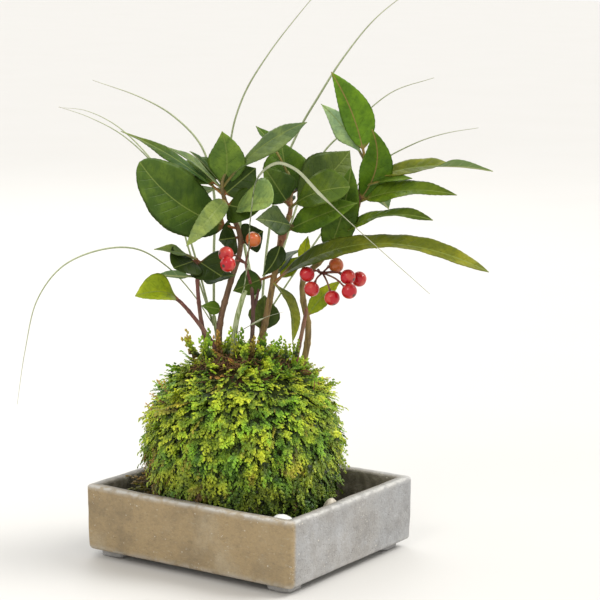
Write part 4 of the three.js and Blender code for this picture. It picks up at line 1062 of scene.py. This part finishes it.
lay_on(tree, shader, blade, height, 0.12)

leaf_under, tree, shader = new_finish("leaf, underside", Roughness=0.6, Specular_IOR_Level=0.15)
blade = colour_mix(tree, 0.62, own_value(tree, "tint", "Color"), (0.2, 0.31, 0.13))
blade = stained(tree, blade, (0.12, 0.2, 0.07), 0.35, 0.7, 0.3, 3, 3)
side_line = side_veins(tree, 0.12, 0.4, 1.0)
blade = colour_mix(tree, maths(tree, "MULTIPLY", side_line, 0.5), blade, (0.34, 0.42, 0.2))
rib_line = remap(tree, own_value(tree, "off_rib"), 0.3, 0.6, 0.9, 0.0)
blade = colour_mix(tree, rib_line, blade, (0.38, 0.42, 0.18))
lay_on(tree, shader, blade, side_line, 0.15)


def steps_up(value, low, high):
    """0 below low, 1 above high, and a smooth step between."""
    t = np.clip((value - low) / (high - low), 0, 1)
    return t * t * (3 - 2 * t)


def leaf_sheet(sheet, foot, end, wide, face, tone, arch=0, sway=0, fold=15, stalk=4, wave=0.5,
               widest=0.42, full=0.9, lop=0.0, twist=None, flush=0.0, tip=None):
    """Adds one leaf, a closed thin sheet, to the lists in sheet.

    It runs from foot to end, wide across, with its upper side towards face. arch bows it that way,
    sway bows it sideways, fold lifts its halves by degrees and wave ripples them. It is widest a share
    of the blade away from its stalk. full fills its outline out, tip is the slope of its edge at the
    point, lop widens one half, twist turns it by degrees between two shares, and flush reddens its rib.
    """
    foot, run = np.array(foot, float), np.subtract(end, foot).astype(float)
    length = np.linalg.norm(run)
    along = run / length
    up = aim(*face)
    up -= along * (up @ along)
    up /= np.linalg.norm(up)
    side = np.cross(along, up)
    stalk_share = stalk / length
    count = int((length - stalk) / STATION_EVERY)
    share = np.r_[np.linspace(0, stalk_share, 7)[:-1], np.linspace(stalk_share, 1, count)]
    blade = np.clip((share - stalk_share) / (1 - stalk_share), 0, 1)
    bow = np.sin(math.pi * blade ** (math.log(0.5) / math.log(widest))).clip(0) ** full
    tip = max(0.62, 1.35 * wide / length) if tip is None else tip
    if tip:
        most = (1 - blade) * (length - stalk) * tip / (0.5 * wide) + 1e-6
        bow = bow * most / (bow**4 + most**4) ** 0.25

    # The midrib's line, and the leaf's two directions along it.
    bend, lean = 4 * share * (1 - share), 4 * (1 - 2 * share)
    middle = foot + np.outer(share, run) + np.outer(arch * bend, up) + np.outer(sway * bend, side)
    tangent = run + np.outer(arch * lean, up) + np.outer(sway * lean, side)
    normal = np.cross(side, tangent)
    normal /= np.linalg.norm(normal, axis=1)[:, None]
    out = np.cross(tangent, normal)
    out /= np.linalg.norm(out, axis=1)[:, None]
    if twist:
        turned = np.radians(twist[0]) * steps_up(share, twist[1], twist[2])
        c, s = np.cos(turned)[:, None], np.sin(turned)[:, None]
        out, normal = out * c + normal * s, normal * c - out * s

    # How far out, up and thick the leaf is at each point, from the stalk's half round to the blade.
    run_mm = blade * (length - stalk)
    leafy = steps_up(blade, 0.0, 0.07)
    stem_half = STALK_HALF * (1 - 0.75 * blade)
    half = np.maximum(0.5 * wide * bow, stem_half)
    rise = math.tan(math.radians(fold))
    phase = foot[0] * 1.7 + end[2]
    u = np.linspace(-1, 1, ACROSS + 1)
    u = np.sign(u) * np.abs(u) ** 1.1
    share2, bow2, run2, half2, leafy2 = (v[:, None] for v in (share, bow, run_mm, half, leafy))
    half2 = half2 * (1 + lop * np.sign(u))
    size = np.abs(u)[None]
    saw = (run2 / TOOTH_EVERY + 0.3) % 1
    saw = TOOTH_DEEP * np.where(saw < 0.78, saw / 0.78, (1 - saw) / 0.22) - 0.7 * TOOTH_DEEP
    across = half2 * u + np.sign(u) * saw * size**5 * steps_up(bow2, 0.12, 0.4)
    offset = np.abs(across)
    lift = half2 * rise * bow2
    swing = np.where(u > 0, 2.0, 0.0)
    height = lift * size**1.25 + wave * bow2 * np.sin(9 * share2 + swing) * size**1.5
    height = height + 0.012 * wide * bow2 * np.sin(2 * math.pi * run2 / 9.5 + swing + phase) * size**2.5
    vein = (run2 - 0.8 * offset) / VEIN_EVERY
    quilt = 0.13 * leafy2 * bow2 * np.sin(2 * math.pi * (vein - 0.25))
    height = height + quilt * (1 - size**4) * steps_up(offset, 0.3, 1.5)
    height = height - 0.16 * leafy2 * np.exp(-((offset / 0.5) ** 2))
    taper = 1 - 0.5 * blade[:, None]
    thin = LEAF_THICK / 2 * np.sqrt(np.clip(1 - size**6, 0, 1))
    stout = STALK_DEEP / 2 * taper * np.sqrt(np.clip(1 - size**2, 0, 1))
    above = stout * (1 - leafy2) + thin * leafy2
    ridge = 0.42 * taper * np.exp(-((offset / (0.45 * taper + 0.1)) ** 2)) * leafy2
    below = above + ridge * steps_up(half2, 0.4, 1.5) * (1 - size**4)
    spine = middle[:, None] + out[:, None] * across[..., None]
    top = spine + normal[:, None] * (height + above)[..., None]
    bottom = spine + normal[:, None] * (height - below)[..., None]

    # Both sides share the points of the two edges.
    stations, wide_count = len(share), ACROSS + 1
    first = len(sheet["points"])
    index_top = first + np.arange(stations * wide_count).reshape(stations, wide_count)
    inner = first + stations * wide_count + np.arange(stations * (wide_count - 2)).reshape(stations, -1)
    index_low = np.concatenate([index_top[:, :1], inner, index_top[:, -1:]], 1)
    sheet["points"].extend(top.reshape(-1, 3))
    sheet["points"].extend(bottom[:, 1:-1].reshape(-1, 3))
    i, k = np.mgrid[:stations - 1, :ACROSS].reshape(2, -1)
    upper = np.c_[index_top[i, k], index_top[i, k + 1], index_top[i + 1, k + 1], index_top[i + 1, k]]
    lower = np.c_[index_low[i, k], index_low[i + 1, k], index_low[i + 1, k + 1], index_low[i, k + 1]]
    sheet["faces"].extend(np.stack([upper, lower], 1).reshape(-1, 4))
    sheet["slots"].extend((0, 1) * len(i))
    for i in (0, stations - 1):
        loop = [*index_top[i], *index_low[i, 1:-1][::-1]]
        sheet["faces"].append(tuple(loop[::-1] if i == 0 else loop))
        sheet["slots"].append(0)

    # What the finish needs at each point: its colour, its vein, and its place between rib and margin.
    near, far, stalk_tint, late = (np.array(c) for c in TONES[tone])
    mixed = near + (far - near) * (blade[:, None] ** late)
    mixed = stalk_tint + (mixed - stalk_tint) * leafy[:, None]
    spread = {"tint": np.repeat(mixed[:, None], wide_count, 1), "vein": vein, "margin": size * leafy2,
              "off_rib": np.where(leafy2 < 0.2, 3.0, offset), "flush": flush}
    for label, table in spread.items():
        shape = (stations, wide_count) + ((3,) if label == "tint" else ())
        table = np.broadcast_to(table, shape)
        sheet[label].extend(table.reshape((-1,) + shape[2:]))
        sheet[label].extend(table[:, 1:-1].reshape((-1,) + shape[2:]))


def leaves_piece(name, rows, node):
    """One piece with the leaves in rows, each a foot, an end, a width, a face, a tone and its bends."""
    labels = ("tint", "vein", "margin", "off_rib", "flush")
    sheet = {label: [] for label in ("points", "faces", "slots", *labels)}
    for foot, end, wide, face, tone, bends in rows:
        leaf_sheet(sheet, foot, end, wide, face, tone, **bends)
    values = {label: sheet[label] for label in labels}
    made = make_piece(name, planted(sheet["points"]), sheet["faces"], [leaf_top, leaf_under],
                      sheet["slots"], values=values)
    mount_piece(made, "leaf", node)


LOW_LEAVES = {
    "stem_left": [
        ((-5.2, -0.1, 133.5), (-43, -22, 162.5), 24.5, (-95, 28), "deep",
         dict(arch=-1.5, sway=-4.5, fold=8, stalk=6, wave=0.9, widest=0.54, full=0.5, tip=0)),
        ((-11.4, 0, 100.5), (-19.5, -3, 102.7), 6, (-90, 20), "mid", dict(stalk=1, full=0.6)),
        ((-4.3, 0, 130), (-12.6, -6, 129.7), 15, (-100, 14), "dark", dict(fold=12, stalk=2, full=0.7)),
        ((-4.3, 0, 127), (5, -1, 132.6), 14, (-85, 20), "dark", dict(fold=14, stalk=2, wave=0.6))],
    "stem_centre": [
        ((8.6, 0, 112), (16.8, -14, 89.9), 9, (-20, 45), "olive",
         dict(arch=4, fold=22, stalk=3, full=0.7)),
        ((4.6, 0, 89.3), (5.8, 8, 105.1), 14, (-80, 20), "dull", dict(arch=1, fold=10, stalk=3)),
        ((12, -0.1, 129.8), (4.6, -5, 115), 8, (-95, 10), "dark",
         dict(arch=2, sway=-2, fold=25, stalk=3)),
        ((18.1, -1.5, 134.3), (2.1, -12, 138.9), 14, (-95, 34), "grey",
         dict(arch=1, fold=14, stalk=3, wave=0.8, widest=0.5)),
        ((9, 0, 114.5), (-7.1, -0.5, 108.2), 12, (-100, 20), "deep",
         dict(arch=1, fold=18, stalk=5, full=0.7)),
        ((9, 0, 111), (21.8, 14, 123.1), 13, (60, 60), "grey", dict(arch=3)),
        ((9, 0, 110), (20.8, 6, 121.5), 8, (-90, 40), "lime", dict(arch=1, stalk=5)),
        ((9, -0.4, 111.5), (92.6, -30, 120.7), 13.5, (-80, 62), "olive_tip",
         dict(arch=16, fold=12, stalk=4, wave=1.5, widest=0.45, full=0.55)),
        ((12.8, -0.2, 131.5), (42, -11, 145.2), 14, (-95, 35), "mid",
         dict(arch=2, widest=0.5, full=0.7))],
    "stem_right": [
        ((22, 2, 95.5), (36.5, 4, 111.6), 7.5, (-60, 30), "lime", dict(arch=1, sway=-1.5, stalk=3)),
        ((31, 0.2, 123.5), (39.8, -4, 158.7), 14, (-95, 8), "mid",
         dict(arch=1, sway=1.5, fold=12, stalk=1.5, wave=0.8, widest=0.4, full=0.6)),
        ((21, 2, 111), (23.1, 5, 129.8), 6, (-110, 10), "lime", dict(arch=2, stalk=8)),
        ((36, 1.2, 130), (71.1, -23, 140.1), 9, (-85, 60), "even",
         dict(arch=6, stalk=5, wave=1.3, full=0.6)),
        ((30, 2, 122), (52, 24, 122), 16, (50, 65), "mid", dict(arch=4))],
    "stem_lime": [
        ((-29, -4, 105.4), (-45.7, -14, 108.5), 13, (-100, 40), "lime",
         dict(arch=4, fold=30, stalk=2, widest=0.5, full=0.7, tip=1.6))],
    "stem_pair": [
        ((-21.4, -2, 121), (-38.3, -9, 126.5), 6, (-90, 60), "pale", dict(arch=1.5, stalk=5)),
        ((-21.5, -2, 121), (-30.3, -12, 119.4), 17, (-100, 30), "dark",
         dict(stalk=2, full=0.55, tip=0)),
        ((-21.5, -2, 121), (-11.7, -11, 116), 17, (-80, 30), "dark", dict(stalk=2, full=0.55, tip=0)),
        ((-21, 0, 114), (-37.5, -1, 115), 6, (110, 40), "grey", dict(stalk=4)),
        ((-21, 0, 113), (-6.2, -6, 115.6), 9, (-80, 45), "grey", dict(sway=0, stalk=2))],
}
CROWNS = {
    "leaves_left": ([(-7, -0.3, 137.6), (-7.3, -0.4, 139), (-10.2, -1.6, 145), (-11.4, -1.6, 151),
                     (-9.5, 0, 158)], [
        ((-11.2, -1.7, 150), (-33, 16, 157), 18, (-110, 60), "deep", dict(arch=2)),
        ((-11.3, -1.8, 147.5), (-52.5, 18, 170.8), 7, (-75, 72), "lime_tip",
         dict(arch=2.5, fold=3, wave=0.9, widest=0.4)),
        ((-10.6, -0.4, 150), (-24.4, 12, 163.3), 9, (90, 60), "grey", dict(arch=1)),
        ((-10.6, -1.2, 149), (-32.4, -10, 167.1), 9.5, (-70, 74), "sheen",
         dict(arch=1.5, fold=10, stalk=2, widest=0.5)),
        ((-10.6, -0.8, 150), (-11.3, -5, 172.8), 16.5, (-95, 15), "bright",
         dict(arch=-1, sway=1.5, stalk=1, widest=0.5, full=0.8)),
        ((-10.8, -1.4, 150.5), (22.2, -6, 176.7), 14, (-100, 52), "sheen",
         dict(arch=2.5, sway=-2, fold=6, stalk=6, widest=0.66, full=0.8, lop=0.3)),
        ((-10.8, -1.9, 147), (2.1, -1, 157.9), 18, (-90, 20), "inner",
         dict(fold=14, stalk=1, widest=0.5, full=0.75)),
        ((-9.6, -1.8, 143.5), (4.5, -11, 143.6), 17, (-80, 25), "inner",
         dict(sway=1, fold=16, stalk=1, widest=0.45, full=0.75)),
        ((-7.6, -0.7, 139.8), (8.5, -24, 147.2), 15, (-85, 30), "paler",
         dict(arch=2, fold=14, stalk=1, widest=0.7, full=0.5, lop=-0.35, tip=0)),
        ((-10.2, -1.6, 145), (-24.9, -26, 130.2), 8.5, (-70, 30), "pale",
         dict(arch=4.5, fold=22, stalk=1, widest=0.45, full=0.6)),
        ((-11, -1.2, 153), (-7, 20, 160), 12, (80, 60), "deep", dict(arch=3)),
        ((-11, -1.7, 149), (-24, 16, 141), 15, (110, 60), "mid", dict(arch=3))]),
    "leaves_centre": ([(15.4, 0, 138.4), (15.8, 0, 140), (16, 2, 147), (15, 6, 156)], [
        ((15.7, 2.4, 145.5), (12.3, 14, 167.2), 20, (-85, 8), "mid",
         dict(stalk=2, widest=0.5, full=0.8)),
        ((16, 0.5, 142), (5.3, -5, 158.8), 15, (-95, 30), "deep", dict(fold=26, stalk=3)),
        ((15.8, 0.8, 142), (40.5, 20, 162.8), 25, (-85, 4), "dull",
         dict(arch=1, sway=1.5, widest=0.5, full=0.75)),
        ((15.8, 0, 141.5), (39.1, -12, 151.7), 17, (-85, 40), "shade",
         dict(arch=4, stalk=4, widest=0.6, full=0.6, tip=0)),
        ((15.2, 5, 154), (2.2, 14, 173.3), 6, (-60, 30), "mid", dict(arch=2, stalk=15, widest=0.6)),
        ((15.8, 1, 144), (26, 30, 152), 19, (85, 65), "deep", dict(arch=5)),
        ((15.8, 0, 142), (4, 26, 138), 16, (100, 60), "mid", dict(arch=4))]),
    "leaves_right": ([(42.7, 0, 142.4), (43.2, 0, 144), (44.5, 2, 154), (46, 5, 163)], [
        ((45.6, 4.4, 161), (32.2, 11, 195.3), 13.5, (-100, 10), "light",
         dict(arch=-1, sway=1.9, fold=12, wave=1, widest=0.4, full=0.9, lop=0.25, flush=1)),
        ((45.8, 4.8, 160), (28.3, 13, 182.3), 15, (-110, 16), "cool",
         dict(sway=1.5, fold=10, widest=0.62, full=0.8, tip=0.4)),
        ((43.3, 0.2, 144.6), (47.8, -8, 174), 14, (-85, 12), "fresh",
         dict(arch=-1, sway=4.5, fold=18, stalk=1, wave=1, widest=0.48, full=0.7, flush=0.9)),
        ((44.3, 1.6, 152), (96.1, -6, 157.4), 10.5, (-85, 62), "olive",
         dict(arch=5, stalk=9, wave=1, full=0.6, twist=(60, 0.52, 0.82))),
        ((44, 1, 150), (63.8, -9, 154.9), 6, (-90, 60), "mid", dict(arch=1, stalk=8)),
        ((43.2, 0.3, 144), (80.9, -17, 149.2), 12.5, (-90, 55), "even",
         dict(arch=4.2, stalk=4, wave=1.1, widest=0.36)),
        ((44.2, 1.5, 151), (59, 26, 151), 12, (80, 65), "mid", dict(arch=3, widest=0.55)),
        ((43.6, 0.6, 147), (57, 27, 138), 13, (80, 60), "deep", dict(arch=3, widest=0.55))]),
}
for node, rows in LOW_LEAVES.items():
    leaves_piece(node.replace("stem", "low_leaves"), rows, node)
for node, (route, rows) in CROWNS.items():
    leaves_piece(node.replace("leaves", "crown_leaves"), rows, node)
    path, girth, tints = strand(route, PATH_STEP, 1.0, 0.7, (0.25, 0.1, 0.05), (0.2, 0.2, 0.05))
    girth[-3:] *= (0.9, 0.65, 0.3)
    green_shoot = swept(node.replace("leaves", "crown_shoot"), [(path, girth, tints)], polygon(12), bark,
                        0.3, 1.2)
    mount_piece(green_shoot, "bark", node)

# ---------------------------------------------------------------------------------------------
# Berries: ripe drupes, 6 mm across, shining red with a few still orange, each on a thin dark red
# stalk from a forked spray. The scar of the flower is a dark dot at the far end.
# ---------------------------------------------------------------------------------------------
BERRY_RADIUS, SPRAY_HALF, TWIG_HALF, TWIG_SAG = 3.1, 0.55, 0.34, 1.2
SPRAY_STEP, BERRY_ROUND, BERRY_LEVELS, SCAR_WIDE = 0.4, 30, 20, 0.2
STALK_RED, TWIG_RED = (0.13, 0.025, 0.02), (0.2, 0.05, 0.03)
RED, ORANGE, ROSE = (0.46, 0.004, 0.013), (0.52, 0.13, 0.03), (0.47, 0.02, 0.024)
SPRAYS = {  # the bunch's stalk, then each berry's middle and colour
    "berries_right": ([(27.2, 0.6, 116.6), (27.6, -4, 116.4), (28.6, -9, 117)], [
        ((22.4, -11, 116.7), RED), ((24.2, -13.5, 111.2), ROSE), ((32.2, -16, 108), RED),
        ((38.4, -16, 116.4), RED), ((43.1, -10, 114.6), RED), ((38.8, -20, 111.4), RED),
        ((34, -8, 119.8), ORANGE)]),
    "berries_left": ([(0, -8.6, 112.6), (-1.2, -9.5, 117), (-2, -10, 121)], [
        ((-9.7, -14, 125.2), ROSE), ((-8.9, -19.2, 122), RED), ((1.1, -11, 130.7), ORANGE)]),
}

berry_skin, tree, shader = new_finish("berry skin", Roughness=0.35, Specular_IOR_Level=0.2, Coat_Weight=0.6,
                                      Coat_Roughness=0.06)
skin = own_value(tree, "tint", "Color")
# Lighter orange-red patches by 4 mm noise: the skin's own mottling, and painted light glowing through the skin.
skin = stained(tree, skin, (0.66, 0.1, 0.06), 0.48, 0.62, 0.5, 4, 2)
skin = flecked(tree, skin, (0.7, 0.2, 0.14), 0.8, 0.06, 0.13, 0.2)
skin = colour_mix(tree, own_value(tree, "scar"), skin, (0.05, 0.015, 0.01))
lay_on(tree, shader, skin, mottle(tree, 1.2, 2), 0.04)


def berry_form(centre, from_stalk):
    """One berry's skin, dented at its stalk and its scar, and which of its points are on the scar."""
    across = np.cross(from_stalk, [0.3, 0.2, 1.0])
    across /= np.linalg.norm(across)
    turns = 2 * math.pi * np.arange(BERRY_ROUND)[:, None] / BERRY_ROUND
    level = across * np.cos(turns) + np.cross(from_stalk, across) * np.sin(turns)
    rings, off_scar = [], np.linspace(math.pi, 0, BERRY_LEVELS + 1)
    for away in off_scar:
        dent = 0.35 * math.exp(-(((math.pi - away) / 0.32) ** 2)) + 0.1 * math.exp(-((away / 0.2) ** 2))
        ring = from_stalk * 0.97 * math.cos(away) + level * math.sin(away)
        rings.append(centre + ring * (BERRY_RADIUS - dent))
    skin = closed_skin(np.concatenate(rings[1:-1]), BERRY_ROUND, rings[0][0], rings[-1][0])
    off_scar = np.r_[np.repeat(off_scar[1:-1], BERRY_ROUND), math.pi, 0]
    return skin, off_scar < SCAR_WIDE


for node, (stalk, berries) in SPRAYS.items():
    fork = np.array(stalk[-1], float)
    paths = [strand(stalk, SPRAY_STEP, 0.62, SPRAY_HALF, STALK_RED, STALK_RED)]
    skins, tints, scars = [], [], []
    for centre, tint in berries:
        centre = np.array(centre, float)
        bend = (fork + centre) / 2 + [0, 0, TWIG_SAG]
        from_stalk = (centre - bend) / np.linalg.norm(centre - bend)
        joint = centre - from_stalk * (BERRY_RADIUS - 0.35)
        path, girth, stalk_tints = strand([fork, bend, joint], SPRAY_STEP, 0.42, TWIG_HALF, STALK_RED, TWIG_RED)
        girth[-4:] *= (1.15, 1.45, 1.8, 1.9)
        paths.append((path, girth, stalk_tints))
        skin, scar = berry_form(centre, from_stalk)
        skins.append(skin)
        tints.extend([tint] * len(scar))
        scars.extend(scar)
    points, faces = join(skins)
    fruit = make_piece(node.replace("berries", "fruit"), planted(points), faces, [berry_skin],
                       values={"tint": tints, "scar": scars})
    mount_piece(fruit, "berry", node)
    spray = swept(node.replace("berries", "spray"), paths, polygon(8), bark, 0.12, 0.8)
    mount_piece(spray, "bark", node)

# ---------------------------------------------------------------------------------------------
# Sedge: three tufts of long arching blades, keeled and about a millimetre wide, drawn out to a
# hair at the tip. Each tuft's blades come out of one pale striped sheath that stands in the soil.
# ---------------------------------------------------------------------------------------------
SHEATH_ROOT, SHEATH_TIP = 1.35, 0.95
KEELED = [(-1.0, 0.42), (-0.5, 0.05), (0.0, -0.12), (0.5, 0.05), (1.0, 0.42), (0.52, -0.22), (0.0, -0.45),
          (-0.52, -0.22)]
GRASS_LOW, GRASS_MID, GRASS_END = (0.3, 0.36, 0.16), (0.34, 0.39, 0.22), (0.42, 0.41, 0.31)
SEDGE = {  # the sheath's route, then each blade's
    "sedge_left": ([(-12, 8, 72), (-13, 9, 84), (-15, 11, 96)], [
        [(-15, 11, 92), (-15, 16, 120), (-15, 22, 145), (-20, 23, 164), (-31.4, 21, 176.6), (-44, 20, 184),
         (-64, 22, 191)],
        [(-15, 11, 92), (-25, 18, 122), (-31, 24, 142), (-39, 24, 156), (-52, 20, 169), (-65, 16, 176.5),
         (-77, 13, 181)],
        [(-15, 11, 92), (-24, 20, 124), (-31, 28, 143), (-41, 32, 158), (-55, 37, 171), (-68, 41, 177),
         (-80, 46, 178)],
        [(-15, 11, 92), (-24, 10, 106), (-34, 3, 118), (-46, -7, 126.5), (-59, -10, 126.5), (-74, -14, 120.5),
         (-84, -16, 107.6), (-89, -18, 87.5), (-92.3, -20, 66)]]),
    "sedge_back": ([(5, 11, 72), (5, 12, 84), (4, 14, 96)], [
        [(4, 14, 92), (-2, 24, 120), (-6, 30, 146), (-8, 29, 165), (-3, 24, 184), (7, 18, 201.5),
         (21, 14, 220), (32, 10, 233)],
        [(4, 14, 92), (7, 28, 124), (12, 37, 150), (20, 33, 170), (28, 24, 185), (37, 18, 200),
         (50, 14, 216.5), (68, 12, 231)],
        [(4, 14, 92), (13, 28, 120), (22, 38, 145), (31, 39, 161), (41, 35, 171), (58, 29, 186), (75, 27, 192)],
        [(4, 14, 92), (20, 28, 114), (38, 38, 138), (52, 36, 155), (68, 30, 165), (80, 25, 169.5),
         (93, 22, 172)],
        [(4, 14, 92), (0, 24, 112), (-4, 36, 128), (-8, 50, 136), (-12, 66, 130)]]),
    "sedge_front": ([(-7, -6.5, 72), (-7, -7.2, 84), (-6.6, -7.5, 90.6), (-5.4, -8.5, 98.5),
                     (-3.8, -9.5, 104.8), (-2.2, -10.5, 110)], [
        [(-3.2, -10, 107), (-1, -17, 124), (0, -28, 142), (3, -31, 158), (10, -31, 163.2), (17, -31, 161),
         (27, -31, 151), (41, -33, 138), (69, -38, 113.4)],
        [(-6.3, -7.8, 92), (-1, -13, 96), (6, -17, 100.5), (13, -19, 103)]]),
}
HIGH_SHARES, HIGH_GREENS = (0, 0.42, 0.5, 0.64, 0.7, 1), (GRASS_LOW, *[GRASS_MID] * 4, GRASS_END)
ALONG_BLADES = {  # shares of a blade's length, with its half width and its colour at each
    "sedge_left": (HIGH_SHARES, (0.55, 0.55, 0.5, 0.42, 0.38, 0.1), HIGH_GREENS),
    "sedge_back": (HIGH_SHARES, (0.52, 0.55, 0.5, 0.46, 0.42, 0.12), HIGH_GREENS),
    # The front tuft's blades are painted dark green from their base to about a third of their length, as
    # painted shade where they pass behind the leaves; above that they are pale.
    "sedge_front": ((0, 0.36, 0.44, 0.6, 0.66, 1), (0.3, 0.24, 0.66, 0.74, 0.22, 0.1),
                    ((0.1, 0.13, 0.04), (0.03, 0.055, 0.015), (0.42, 0.45, 0.3), (0.5, 0.53, 0.38),
                     GRASS_END, GRASS_END)),
}

grass, tree, shader = new_finish("sedge blade", Roughness=0.5, Specular_IOR_Level=0.4)
hay = own_value(tree, "tint", "Color")
hay = stained(tree, hay, (0.5, 0.54, 0.34), 0.42, 0.58, 0.6, 0.6, 2, 0.5, (1, 1, 0.06))
hay = stained(tree, hay, (0.16, 0.2, 0.06), 0.45, 0.75, 0.4, 12, 3)
lay_on(tree, shader, hay, mottle(tree, 0.3, 2, 0.5, (1, 1, 0.1)), 0.05)

for node, (sheath, blades) in SEDGE.items():
    shares, girths, greens = ALONG_BLADES[node]
    paths = []
    for blade in blades:
        path = smooth_path(blade, 0.8)
        share = np.linspace(0, 1, len(path))
        tint = np.stack([np.interp(share, shares, [c[k] for c in greens]) for k in range(3)], -1)
        paths.append((planted(path), np.interp(share, shares, girths), tint))
    tuft = swept(node.replace("sedge", "grass"), paths, KEELED, grass)
    mount_piece(tuft, "sedge", node)
    husk = strand(sheath, 0.5, SHEATH_ROOT, SHEATH_TIP, (0.09, 0.085, 0.035), (0.22, 0.29, 0.09))
    shell = swept(node.replace("sedge", "sheath"), [husk], polygon(14, 0.6), grass, 0.2, 1.5)
    mount_piece(shell, "sedge", node)

# ---------------------------------------------------------------------------------------------
# Setting: a plain pale floor, soft daylight from high on the right, a smaller fill from the left
# and a little light from behind, and the camera a little above the leaves, 0.9 m away.
# ---------------------------------------------------------------------------------------------
floor_paint, tree, shader = new_finish("pale floor", Roughness=0.6, Specular_IOR_Level=0.3)
pale = colour_mix(tree, mottle(tree, 120, 2), (0.61, 0.6, 0.575), (0.63, 0.62, 0.6))
tree.links.new(pale, shader.inputs["Base Color"])
HALF_FLOOR = 6.0
floor_corners = [(x * HALF_FLOOR, y * HALF_FLOOR, 0) for x, y in ((-1, -1), (1, -1), (1, 1), (-1, 1))]
floor_mesh = bpy.data.meshes.new("floor")
floor_mesh.from_pydata(floor_corners, [], [(0, 1, 2, 3)])
floor_mesh.materials.append(floor_paint)
floor = new_object("floor", floor_mesh)

world = bpy.data.worlds.new("white room")
bpy.context.scene.world = world
world.use_nodes = True
sky = world.node_tree.nodes["Background"]
sky.inputs["Color"].default_value = (1.0, 0.99, 0.975, 1)
sky.inputs["Strength"].default_value = 0.95
bpy.context.scene.view_settings.view_transform = "Standard"

daylight = bpy.data.lights.new("daylight", "SUN")
daylight.energy, daylight.angle, daylight.color = 2.3, math.radians(28), (1.0, 0.985, 0.96)
AIM = Vector((0, 0, 0.1))
lamps = [(daylight, (0.7, 0.05, 0.95))]
for name, place, energy, size, colour in (
        ("fill", (-0.45, -0.8, 0.85), 2.4, 0.3, (1.0, 0.96, 0.9)),
        ("back", (-0.25, 0.9, 0.8), 3.0, 0.7, (0.96, 0.98, 1.0))):
    lamp = bpy.data.lights.new(name, "AREA")
    lamp.energy, lamp.size, lamp.color = energy, size, colour
    lamps.append((lamp, place))
for lamp, place in lamps:
    holder = new_object(lamp.name, lamp)
    holder.location = planted(place)
    holder.rotation_euler = (AIM - holder.location).to_track_quat("-Z", "Y").to_euler()

CAMERA_BEARING, CAMERA_RISE, CAMERA_AWAY = math.radians(35.5), math.radians(16.36), 0.9
CAMERA_TILT, CAMERA_PAN = math.radians(6.567), math.radians(-1.3)
back = Vector((math.sin(CAMERA_BEARING) * math.cos(CAMERA_RISE),
               -math.cos(CAMERA_BEARING) * math.cos(CAMERA_RISE), math.sin(CAMERA_RISE)))
right = Vector((0, 0, 1)).cross(back).normalized()
up = Matrix.Rotation(CAMERA_TILT, 3, right) @ back.cross(right)
look = Matrix.Rotation(CAMERA_TILT, 3, right) @ back
pan = Matrix.Rotation(CAMERA_PAN, 3, up)
right, look = pan @ right, pan @ look
lens = bpy.data.cameras.new("camera")
lens.sensor_width, lens.lens = 36.0, 130.62
lens.clip_start, lens.clip_end = 0.05, 30.0
camera = new_object("camera", lens)
camera.matrix_world = Matrix.Translation(back * CAMERA_AWAY) @ Matrix((right, up, look)).transposed().to_4x4()
bpy.context.scene.camera = camera
